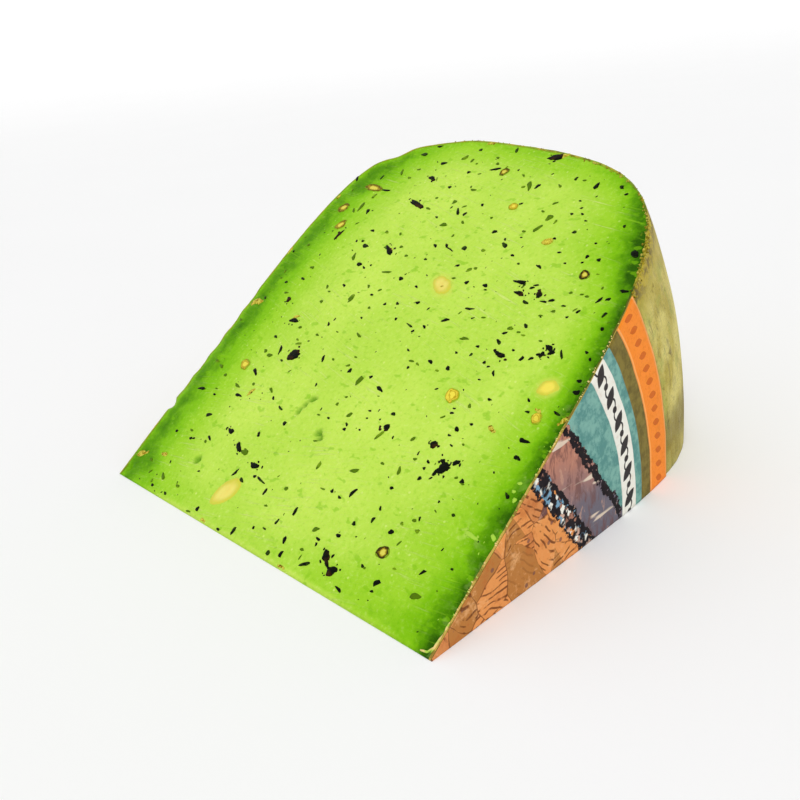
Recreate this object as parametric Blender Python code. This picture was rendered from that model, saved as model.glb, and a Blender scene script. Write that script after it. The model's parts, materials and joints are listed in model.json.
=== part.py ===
"""A wedge of green herb cheese, cut from a round wheel and lying on its lower cut face.

The wheel's axis is the X axis and the wedge's thin edge lies along it. The lower cut face is the
plane Z = 0, and the upper cut face slopes up from the thin edge. The face at +X carries the printed
paper label, the face at -X is bare rind, and the wheel's rim is at the back, at +Y.
All sizes are in metres.
"""

import math
import random

import bmesh
import bpy
from mathutils import Matrix, Vector

# The wheel that the wedge was cut from
WHEEL_HEIGHT = 0.1130
RIM_RADIUS = 0.1214
RIM_CREST_OFFSET = -0.0145
RIM_FALL_TO_BARE_SIDE = 0.0075
RIM_FALL_TO_LABEL_SIDE = 0.0116
CREST_ROUNDING = 0.12
SECTION_POWER = 5.47
WEDGE_ANGLE = math.radians(35.7)
BLUNT_TIP = 0.0010
SECTION_STEPS = 22
TURN_STEPS = 8
CUT_FACE_CELL = 0.0125

# The label, a sector of a round sheet
LABEL_RADIUS = 0.0791
LABEL_THICKNESS = 0.0004
LABEL_GAP = 0.0003
LABEL_CUT_BACK = math.radians(0.35)
LABEL_STEPS = 12

# What the paste holds, and how far it stands out of the upper cut face or sinks into it
SEED_HEIGHT = 0.00035
NUT_HEIGHT = 0.00045
FLECK_HEIGHT = 0.00025
PIT_DEPTH = 0.0007
FLECK_LENGTHS = (0.0011, 0.0027)
FLECK_WIDTH_SHARE = (0.35, 0.65)
FLECK_COUNT = 130
FLECK_SEED = 12
EDGE_CLEARANCE = 0.0030
PIECE_CLEARANCE = 0.0006

# Seeds in the cut face: across, out from the tip, length, width, turn in degrees
SEEDS = (
    (-0.0397, 0.1027, 0.0078, 0.0026, -8),
    (-0.0459, 0.0946, 0.0041, 0.0037, 30),
    (-0.0418, 0.0885, 0.0040, 0.0034, 60),
    (-0.0395, 0.0402, 0.0041, 0.0034, -35),
    (0.0026, 0.1104, 0.0029, 0.0025, 40),
    (0.0122, 0.0995, 0.0029, 0.0021, 5),
    (0.0276, 0.0902, 0.0028, 0.0020, 10),
    (0.0415, 0.0827, 0.0026, 0.0024, 0),
    (0.0283, 0.0481, 0.0040, 0.0032, -50),
    (0.0348, 0.0127, 0.0030, 0.0027, 20),
    (0.0497, 0.0483, 0.0028, 0.0023, -60),
)

# Pine nuts and garlic in the cut face, in the same order
NUTS = (
    (-0.0153, 0.0089, 0.0094, 0.0056, 55),
    (0.0067, 0.0743, 0.0056, 0.0042, -30),
    (0.0484, 0.0552, 0.0043, 0.0037, 20),
)

# The largest herb pieces, in the same order
HERBS = (
    (-0.0249, 0.0468, 0.0050, 0.0036, 15),
    (0.0372, 0.0331, 0.0052, 0.0040, 35),
    (0.0256, 0.0051, 0.0050, 0.0024, -20),
    (0.0226, 0.0072, 0.0026, 0.0020, -35),
    (-0.0191, 0.0981, 0.0068, 0.0020, -20),
    (0.0443, 0.0633, 0.0034, 0.0024, 25),
    (0.0272, 0.0785, 0.0042, 0.0011, 0),
    (0.0288, 0.0756, 0.0035, 0.0013, -5),
    (0.0338, 0.0760, 0.0024, 0.0016, -45),
    (0.0334, 0.0597, 0.0032, 0.0016, -15),
    (-0.0203, 0.1073, 0.0034, 0.0017, -20),
    (-0.0212, 0.0198, 0.0042, 0.0017, -22),
    (-0.0120, 0.0173, 0.0033, 0.0018, 15),
    (-0.0274, 0.0224, 0.0026, 0.0014, -15),
    (-0.0408, 0.0618, 0.0022, 0.0017, 0),
    (-0.0174, 0.0823, 0.0046, 0.0022, -35),
    (-0.0397, 0.0852, 0.0036, 0.0022, 70),
    (-0.0335, 0.0560, 0.0038, 0.0017, 10),
    (0.0154, 0.1152, 0.0056, 0.0022, 12),
    (0.0311, 0.0367, 0.0022, 0.0019, 30),
    (0.0172, 0.0368, 0.0022, 0.0016, 10),
)

# Open eyes in the cut face, in the same order
PITS = (
    (-0.0091, 0.0352, 0.0052, 0.0024, 70),
    (0.0001, 0.0298, 0.0034, 0.0024, -20),
    (-0.0324, 0.0127, 0.0030, 0.0022, -25),
)


def clear_scene():
    for obj in list(bpy.data.objects):
        bpy.data.objects.remove(obj, do_unlink=True)


def new_collection(name):
    collection = bpy.data.collections.new(name)
    bpy.context.scene.collection.children.link(collection)
    return collection


def plain_material(name, colour, roughness):
    material = bpy.data.materials.new(name)
    material.use_nodes = True
    shader = material.node_tree.nodes["Principled BSDF"]
    shader.inputs["Base Color"].default_value = (*colour, 1)
    shader.inputs["Roughness"].default_value = roughness
    shader.inputs["Metallic"].default_value = 0
    return material


def rim_radius(across, side):
    """The rim's radius before its corners are rounded. across runs from 0 at the crest to 1 at the
    wheel's flat face, and side is -1 towards the bare face and 1 towards the label."""
    fall = RIM_FALL_TO_LABEL_SIDE if side > 0 else RIM_FALL_TO_BARE_SIDE
    return RIM_RADIUS - fall * (math.hypot(across, CREST_ROUNDING) - CREST_ROUNDING)


def section_point(share, side):
    """A point of the wheel's section as (across, radius). share runs from 0 at the axis to 1 at the
    rim's crest."""
    turn = share * math.pi / 2
    reach_out = (math.cos(turn) ** SECTION_POWER + math.sin(turn) ** SECTION_POWER) ** (1 / SECTION_POWER)
    across = math.cos(turn) / reach_out
    out = math.sin(turn) / reach_out
    half = side * WHEEL_HEIGHT / 2 - RIM_CREST_OFFSET
    return RIM_CREST_OFFSET + half * across, rim_radius(across, side) * out


def face_height(radius, side):
    """How far across the wheel's flat face lies at this radius, found by halving."""
    low, high = 0.0, 1.0
    for _ in range(40):
        middle = (low + high) / 2
        if section_point(middle, side)[1] < radius:
            low = middle
        else:
            high = middle
    return section_point(low, side)[0]


def section_outline():
    """The wheel's half section from the blunt tip on the bare side, over the rim, to the label side."""
    points = [(face_height(BLUNT_TIP, -1), BLUNT_TIP)]
    shares = [step / SECTION_STEPS for step in range(1, SECTION_STEPS + 1)]
    points += [section_point(share, -1) for share in shares]
    points += [section_point(share, 1) for share in reversed(shares[:-1])]
    points.append((face_height(BLUNT_TIP, 1), BLUNT_TIP))
    return [point for point in points if point[1] >= BLUNT_TIP]


def cut_into_cells(bm, cell):
    """Divides a flat face into cells, so that what is joined to it later meets small faces."""
    for axis, normal in ((0, (1, 0, 0)), (1, (0, 1, 0))):
        low = min(vert.co[axis] for vert in bm.verts)
        high = max(vert.co[axis] for vert in bm.verts)
        count = round((high - low) / cell)
        for step in range(1, count):
            place = Vector(normal) * (low + (high - low) * step / count)
            geometry = [*bm.verts, *bm.edges, *bm.faces]
            bmesh.ops.bisect_plane(bm, geom=geometry, dist=1e-6, plane_co=place, plane_no=normal)


def turned_solid(name, outline, start, angle, steps, collection, material, cell=None):
    """A closed solid made by turning an outline of (across, radius) points about the wheel's axis."""
    mesh = bpy.data.meshes.new(name)
    bm = bmesh.new()
    bm.faces.new([bm.verts.new((across, radius, 0)) for across, radius in outline])
    if cell:
        cut_into_cells(bm, cell)
    bmesh.ops.rotate(bm, verts=bm.verts, cent=(0, 0, 0), matrix=Matrix.Rotation(start, 3, "X"))
    bmesh.ops.spin(
        bm,
        geom=[*bm.verts, *bm.edges, *bm.faces],
        cent=(0, 0, 0),
        axis=(1, 0, 0),
        angle=angle,
        steps=steps,
    )
    bmesh.ops.recalc_face_normals(bm, faces=bm.faces)
    bm.to_mesh(mesh)
    bm.free()
    obj = bpy.data.objects.new(name, mesh)
    obj.data.materials.append(material)
    collection.objects.link(obj)
    return obj


def cut_face_matrix(across, out, turn_degrees):
    """Places a shape on the upper cut face, its X along the shape's length and its Z out of the face."""
    on_plane = Matrix.Translation((across, out, 0)) @ Matrix.Rotation(math.radians(turn_degrees), 4, "Z")
    return Matrix.Rotation(WEDGE_ANGLE, 4, "X") @ on_plane


def lens(name, place, height, rounds, collection):
    """A low rounded bump half sunk in the cut face: a seed, a nut, or the cutter of an open eye."""
    across, out, length, width, turn = place
    mesh = bpy.data.meshes.new(name)
    bm = bmesh.new()
    bmesh.ops.create_uvsphere(bm, u_segments=rounds, v_segments=4, radius=1)
    bmesh.ops.scale(bm, vec=(length / 2, width / 2, height), verts=bm.verts)
    bmesh.ops.transform(bm, matrix=cut_face_matrix(across, out, turn), verts=bm.verts)
    bm.to_mesh(mesh)
    bm.free()
    collection.objects.link(bpy.data.objects.new(name, mesh))


def chip(name, place, height, collection):
    """A flat six-sided flake with sloping sides, its foot sunk in the cut face."""
    across, out, length, width, turn = place
    mesh = bpy.data.meshes.new(name)
    bm = bmesh.new()
    bmesh.ops.create_cone(bm, cap_ends=True, segments=6, radius1=1.0, radius2=0.55, depth=2.0)
    bmesh.ops.scale(bm, vec=(length / 2, width / 2, height), verts=bm.verts)
    bmesh.ops.transform(bm, matrix=cut_face_matrix(across, out, turn), verts=bm.verts)
    bm.to_mesh(mesh)
    bm.free()
    collection.objects.link(bpy.data.objects.new(name, mesh))


def reach(place):
    """How far a piece extends from its middle."""
    return max(place[2], place[3]) / 2


def inside_cut_face(across, out, margin):
    """True where a point of the cut face is this far from the rind and from the thin edge."""
    if out < margin:
        return False
    side = 1 if across > RIM_CREST_OFFSET else -1
    half = side * WHEEL_HEIGHT / 2 - RIM_CREST_OFFSET
    share = (across - RIM_CREST_OFFSET) / (half - side * margin)
    rise = out / (rim_radius(share, side) - margin)
    return share < 1 and share**SECTION_POWER + rise**SECTION_POWER < 1


def scattered_flecks(taken):
    """Small herb flecks spread at random over the cut face, clear of each other and of what is there."""
    rng = random.Random(FLECK_SEED)
    placed = []
    while len(placed) < FLECK_COUNT:
        length = rng.uniform(*FLECK_LENGTHS)
        width = length * rng.uniform(*FLECK_WIDTH_SHARE)
        across = rng.uniform(-WHEEL_HEIGHT / 2, WHEEL_HEIGHT / 2)
        out = rng.uniform(0, RIM_RADIUS)
        place = (across, out, length, width, rng.uniform(0, 180))
        clear = all(
            math.hypot(across - other[0], out - other[1]) > reach(other) + reach(place) + PIECE_CLEARANCE
            for other in (*taken, *placed)
        )
        if clear and inside_cut_face(across, out, EDGE_CLEARANCE):
            placed.append(place)
    return placed


def boolean_with(obj, collection, operation):
    """Joins or cuts obj with every object of a collection, keeps the result and removes the objects."""
    modifier = obj.modifiers.new("relief", "BOOLEAN")
    modifier.operation = operation
    modifier.operand_type = "COLLECTION"
    modifier.collection = collection
    modifier.solver = "EXACT"
    graph = bpy.context.evaluated_depsgraph_get()
    mesh = bpy.data.meshes.new_from_object(obj.evaluated_get(graph))
    obj.modifiers.remove(modifier)
    obj.data = mesh
    for helper in list(collection.objects):
        bpy.data.objects.remove(helper, do_unlink=True)
    bpy.data.collections.remove(collection)


def make_cheese(collection):
    material = plain_material("green_paste", (0.52, 0.79, 0.09), 0.45)
    cheese = turned_solid(
        "cheese", section_outline(), 0, WEDGE_ANGLE, TURN_STEPS, collection, material, CUT_FACE_CELL
    )
    raised = new_collection("raised_pieces")
    for number, place in enumerate(SEEDS):
        lens(f"seed_{number}", place, SEED_HEIGHT, 10, raised)
    for number, place in enumerate(NUTS):
        lens(f"nut_{number}", place, NUT_HEIGHT, 14, raised)
    for number, place in enumerate((*HERBS, *scattered_flecks((*SEEDS, *NUTS, *HERBS, *PITS)))):
        chip(f"fleck_{number}", place, FLECK_HEIGHT, raised)
    boolean_with(cheese, raised, "UNION")
    eyes = new_collection("open_eyes")
    for number, place in enumerate(PITS):
        lens(f"eye_{number}", place, PIT_DEPTH, 10, eyes)
    boolean_with(cheese, eyes, "DIFFERENCE")
    cheese.data.shade_smooth()
    cheese.data.set_sharp_from_angle(angle=math.radians(25))


def make_label(collection):
    """The printed sheet, turned from a strip that follows the wheel's face a small gap outside it."""
    material = plain_material("printed_paper", (0.86, 0.37, 0.08), 0.55)
    radii = [
        BLUNT_TIP + (LABEL_RADIUS - BLUNT_TIP) * step / LABEL_STEPS
        for step in range(LABEL_STEPS + 1)
    ]
    inner = [(face_height(radius, 1) + LABEL_GAP, radius) for radius in radii]
    outer = [(across + LABEL_THICKNESS, radius) for across, radius in reversed(inner)]
    label = turned_solid(
        "label",
        inner + outer,
        LABEL_CUT_BACK,
        WEDGE_ANGLE - 2 * LABEL_CUT_BACK,
        TURN_STEPS,
        collection,
        material,
    )
    label.data.shade_smooth()
    label.data.set_sharp_from_angle(angle=math.radians(25))


def stand_at_origin(collection):
    """Moves every piece so that the middle of the footprint is the origin."""
    bpy.context.view_layer.update()
    corners = [
        obj.matrix_world @ Vector(corner) for obj in collection.objects for corner in obj.bound_box
    ]
    low = Vector(map(min, zip(*corners)))
    high = Vector(map(max, zip(*corners)))
    for obj in collection.objects:
        obj.location -= Vector(((low.x + high.x) / 2, (low.y + high.y) / 2, low.z))


def main():
    clear_scene()
    collection = new_collection("cheese_wedge")
    make_cheese(collection)
    make_label(collection)
    stand_at_origin(collection)


main()
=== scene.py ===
"""The looks of a green herb cheese wedge, built around its solid frame.

The wheel's axis runs along X and the wedge's thin edge lies on it. A place on the wheel is given as
across, along the axis, as radius, out from the axis, and as an angle up from the lower cut face. The
printed label is on the +X side, bare rind on the -X side and the rim at +Y. All sizes are in metres.
"""

import json
import math
import random

import bpy
import numpy as np
from bpy.props import FloatProperty, FloatVectorProperty, IntProperty, PointerProperty
from mathutils import Matrix, Vector, noise

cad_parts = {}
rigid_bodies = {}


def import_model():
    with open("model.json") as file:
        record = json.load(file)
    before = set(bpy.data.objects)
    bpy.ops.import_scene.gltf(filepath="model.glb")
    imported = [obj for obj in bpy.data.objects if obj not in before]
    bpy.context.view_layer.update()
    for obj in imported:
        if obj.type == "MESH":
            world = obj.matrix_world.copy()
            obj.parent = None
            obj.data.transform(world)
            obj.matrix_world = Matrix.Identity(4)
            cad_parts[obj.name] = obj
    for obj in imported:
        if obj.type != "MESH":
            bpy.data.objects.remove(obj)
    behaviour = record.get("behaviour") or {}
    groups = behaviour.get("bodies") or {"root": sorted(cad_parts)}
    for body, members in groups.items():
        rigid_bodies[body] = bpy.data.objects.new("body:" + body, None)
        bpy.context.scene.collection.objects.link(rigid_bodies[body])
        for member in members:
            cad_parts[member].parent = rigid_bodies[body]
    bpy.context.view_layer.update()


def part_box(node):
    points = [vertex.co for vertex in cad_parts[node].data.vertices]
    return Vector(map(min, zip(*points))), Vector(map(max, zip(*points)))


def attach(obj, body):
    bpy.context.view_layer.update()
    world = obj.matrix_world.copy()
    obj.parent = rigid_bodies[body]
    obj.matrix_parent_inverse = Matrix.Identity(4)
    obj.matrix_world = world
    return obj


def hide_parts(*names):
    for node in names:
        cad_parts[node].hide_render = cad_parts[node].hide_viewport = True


bl_info = {
    "name": "Herb Cheese Wedge",
    "version": (1, 0, 0),
    "blender": (4, 5, 0),
    "location": "View3D > Sidebar > Cheese",
    "description": "Builds a wedge of green herb cheese with its rind, label, seeds and herbs",
    "category": "Object",
}

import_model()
CHEESE_LOW, CHEESE_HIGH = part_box("cheese")
BODY = "root"
MM = 0.001

# The wheel, worked out from the frame and from the same rule for its section as the solid has
BLUNT_TIP = 1.0 * MM
RIM_CREST_OFFSET = -14.5 * MM
RIM_FALL_TO_BARE_SIDE = 7.5 * MM
RIM_FALL_TO_LABEL_SIDE = 11.6 * MM
CREST_ROUNDING = 0.12
SECTION_POWER = 5.47
WEDGE_ANGLE = math.radians(35.7)
HALF_HEIGHT = (CHEESE_HIGH.x - CHEESE_LOW.x) / 2
AXIS = Vector((CHEESE_LOW.x + HALF_HEIGHT, CHEESE_LOW.y - BLUNT_TIP * math.cos(WEDGE_ANGLE), 0))
RIM_RADIUS = CHEESE_HIGH.y - AXIS.y
SECTION_SAMPLES = 500
RIND_SAMPLES = 700
WORN_TIP = 0.2 * MM

# How dark the paste is at a depth in mm under the rind: 0 is the middle's green, 1 the darkest. The
# rind dried it differently under the bare face, the rim's crest and the label's face.
BARE_ZONE = (
    (0, 0.58), (0.7, 0.64), (2, 0.76), (4, 0.83), (6, 0.76), (9, 0.64), (13, 0.46), (21, 0.23),
    (32, 0.06), (40, 0),
)
CREST_ZONE = ((0, 0.45), (1.5, 0.52), (3, 0.42), (5, 0.33), (7, 0.25), (10, 0.13), (14, 0.03), (20, 0))
LABEL_ZONE = (
    (0, 0.95), (1, 0.93), (2, 0.84), (3, 0.71), (5, 0.52), (7, 0.40), (10, 0.26), (14, 0.13), (21, 0),
)
LOW_LABEL_ZONE = (
    (0, 0.97), (1, 0.94), (2.5, 0.86), (3.5, 0.76), (5.5, 0.60), (7.5, 0.54), (10.5, 0.44), (14.5, 0.35),
    (21, 0.27), (36, 0.13), (50, 0.03),
)
# By the thin edge, how much darker the paste is at a radius in mm: its first 0.7 mm is left light as a
# painted highlight along the edge, and the band above it is darker
TIP_ZONE = ((0, 0), (0.7, 0), (1.6, 0.2), (5, 0.18), (11, 0))

# Where across the wheel the bare side's zone ends and the label side's begins, and at what radius the
# low part of the label side's zone ends
BARE_SIDE = (-0.042, -0.016)
LABEL_SIDE = (0.026, 0.050)
LOW_PART = (0.004, 0.062)

# The label side's shoulder dried deepest: how far it did at a radius in mm, how much deeper the zones
# reach where it is 1, and how much darker they are
DRY_SHOULDER = ((76, 0), (82, 0.6), (88, 1), (91, 1), (94, 0.65), (98, 0.5), (104, 0))
DRY_SHOULDER_REACH = 0.34
DRY_SHOULDER_DARK = 0.10

# A shallow dent in the rim's shoulder at the upper cut: across, radius, width, depth in mm
SHOULDER_DENT = (-39.9, 115.8, 8.0, 1.7)
DENT_WAY = Vector((0.62, -0.78))

# The torn patch by the label's edge: across, radius, length and width in mm, and its turn
TORN_PATCH = (50.5, 23.0, 10, 8, 0)

# How finely the surfaces are divided
PASTE_COLUMNS = 176
PASTE_ROWS = 172
PASTE_TURNS = 12
COAT_STEP = 0.95 * MM
LABEL_STEP = 0.85 * MM

# How the pieces lie against each other
SINK = 0.08 * MM
FOOT_CLEARANCE = 0.18 * MM
COAT_OVERLAP = 0.03 * MM
COAT_INSET = 0.02 * MM
THINNEST_COAT = 0.3 * MM
LABEL_GAP = 0.03 * MM

# The coat's bands, each as from, to and strength: three counted from the upper cut, one from the lower
# cut and its fading towards that cut, and three along the rind from the thin edge on the label side
KHAKI_BAND = (-0.0130, -0.0030, 0.65)
STAIN_BAND = (-0.0066, 0.0006, 0.85)
EDGE_STAIN_BAND = (-0.0010, 0.0026, 0.60)
FOOT_STAIN_BAND = (0.0280, 0.0190, 0.62)
FOOT_FADE = (0.0080, 0.0150)
UNDER_LABEL_BAND = (-0.0790, -0.0785, 1)
DARK_EDGE_BAND = (-0.082, -0.076, 0.85)
TAN_EDGE_BAND = (-0.056, -0.046, 1)

# Scattered pieces: the most to a square metre, the upper cut's share of flecks, how far they keep from
# the rind and from the larger pieces, whose edge is 1, and the inputs of the nodes that strew them
FLECK_DENSITY = 90000.0
CRUMB_DENSITY = 160000.0
UPPER_FLECK_SHARE = 0.28
FLECK_MARGIN = 1.3 * MM
SPARED_SHARE = 1.25
SCATTER_INPUTS = (
    ("Geometry", "Geometry"), ("Shapes", "Collection"), ("Room", "String"), ("Spacing", "Float"),
    ("Smallest", "Float"), ("Largest", "Float"), ("Density", "Float"), ("Seed", "Int"),
)

# The camera, in the wheel's own coordinates, the sun and the floor
CAMERA_PLACE = Vector((140.0, -75.2, 94.1)) * MM
CAMERA_AZIMUTH = math.radians(48.245)
CAMERA_ELEVATION = math.radians(22.47)
CAMERA_ROLL = math.radians(-5.814)
SENSOR_WIDTH = 36
NEAREST_SEEN = 0.01
SUN_FROM = (0.42, -0.48, 0.77)
FLOOR_SIDES = 96
FLOOR_PROFILE = ((2.6, 0), (3.2, 0.03), (3.7, 0.14), (4.1, 0.36), (4.35, 0.70), (4.45, 1.10))

# Open eyes in the cut face. This table and those of seeds, nuts, herbs and flecks give, for each one,
# across, radius, length and width in mm and the turn in degrees
EYES = (
    (-8.6, 37.3, 2.6, 1.5, 10), (-9.6, 35.4, 1.4, 1.9, 20), (-10.3, 33.5, 1.4, 2.6, 0),
    (-0.2, 30.2, 2.0, 1.9, 45), (1.2, 29.2, 1.9, 1.1, -10), (-32.0, 12.6, 2.3, 2.4, -25),
)

# Chips out of the upper edges, in mm: across, radius, size, depth
EDGE_CHIPS = (
    (-56.8, 22.9, 2.2, 0.95), (-57.5, 29.0, 4.5, 0.35), (-57.5, 36.0, 5.0, 0.40),
    (-57.5, 43.5, 5.0, 0.45), (-57.3, 51.0, 5.0, 0.40), (-57.0, 59.0, 5.0, 0.30), (-54.5, 3.0, 1.6, 0.7),
    (31.0, 0.6, 1.8, 0.4), (-22.0, 0.6, 1.6, 0.4),
)

# Round seeds cut through, and for each its kind: 0 has a nearly black husk, 0.5 a golden one, 1 is smeared
SEEDS = (
    (-39.7, 102.7, 7.8, 2.6, -8), (-45.9, 94.6, 4.1, 3.4, 30), (-41.8, 88.5, 4.0, 3.1, 60),
    (-39.5, 40.2, 4.1, 3.0, -35), (2.6, 110.4, 2.9, 2.5, 40), (12.2, 99.5, 2.9, 2.1, 5),
    (27.6, 90.2, 2.8, 2.0, 10), (41.5, 82.7, 2.7, 2.5, 0), (28.3, 48.1, 4.0, 3.3, -50),
    (34.8, 12.7, 3.1, 2.8, 20), (49.7, 48.3, 2.8, 2.3, -60),
)
SEED_TONES = (0.15, 0.15, 0.2, 0.3, 0.1, 0.4, 0.8, 0.0, 0.5, 0.05, 0.65)

# A pine nut and rounder pale pieces, and for each how yellow it is
NUTS = (
    (-15.4, 9.0, 9.0, 5.9, 55), (6.8, 74.3, 7.2, 4.3, -35), (48.4, 55.2, 4.3, 3.9, 20),
)
NUT_TONES = (0.1, 0.0, 1.0)

# The larger black herb pieces
HERBS = (
    (-24.9, 46.8, 5.0, 3.6, 15), (36.7, 32.7, 3.3, 2.8, 20), (38.6, 34.5, 1.9, 1.4, 20),
    (35.5, 34.0, 1.5, 1.1, -30), (35.3, 31.0, 1.5, 1.0, 80), (26.3, 5.0, 3.0, 2.4, 20),
    (24.2, 5.8, 2.6, 1.1, -30), (22.6, 7.2, 2.8, 2.2, -35), (-19.1, 98.1, 6.8, 2.0, -20),
    (43.6, 63.9, 2.6, 1.5, -40), (44.6, 62.9, 1.9, 1.4, 0), (43.2, 61.9, 1.9, 0.6, 20),
    (27.2, 78.5, 4.2, 1.1, 0), (28.8, 75.6, 3.5, 1.3, -5), (33.8, 76.0, 2.4, 1.6, -75),
    (33.4, 59.8, 3.2, 1.6, -15), (-20.3, 107.3, 3.4, 1.5, -20), (-21.2, 19.8, 4.2, 1.6, -32),
    (-12.0, 17.3, 3.3, 1.6, 15), (-27.4, 22.4, 3.0, 1.4, -15), (-40.8, 61.8, 2.2, 1.8, 0),
    (-17.4, 82.3, 4.4, 1.8, -35), (-39.7, 85.2, 3.6, 1.4, 70), (-33.5, 56.0, 3.6, 1.7, 10),
    (15.4, 115.6, 5.4, 2.2, 12), (31.1, 36.7, 2.2, 1.9, 30), (17.2, 36.8, 2.2, 1.7, 10),
)

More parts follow.
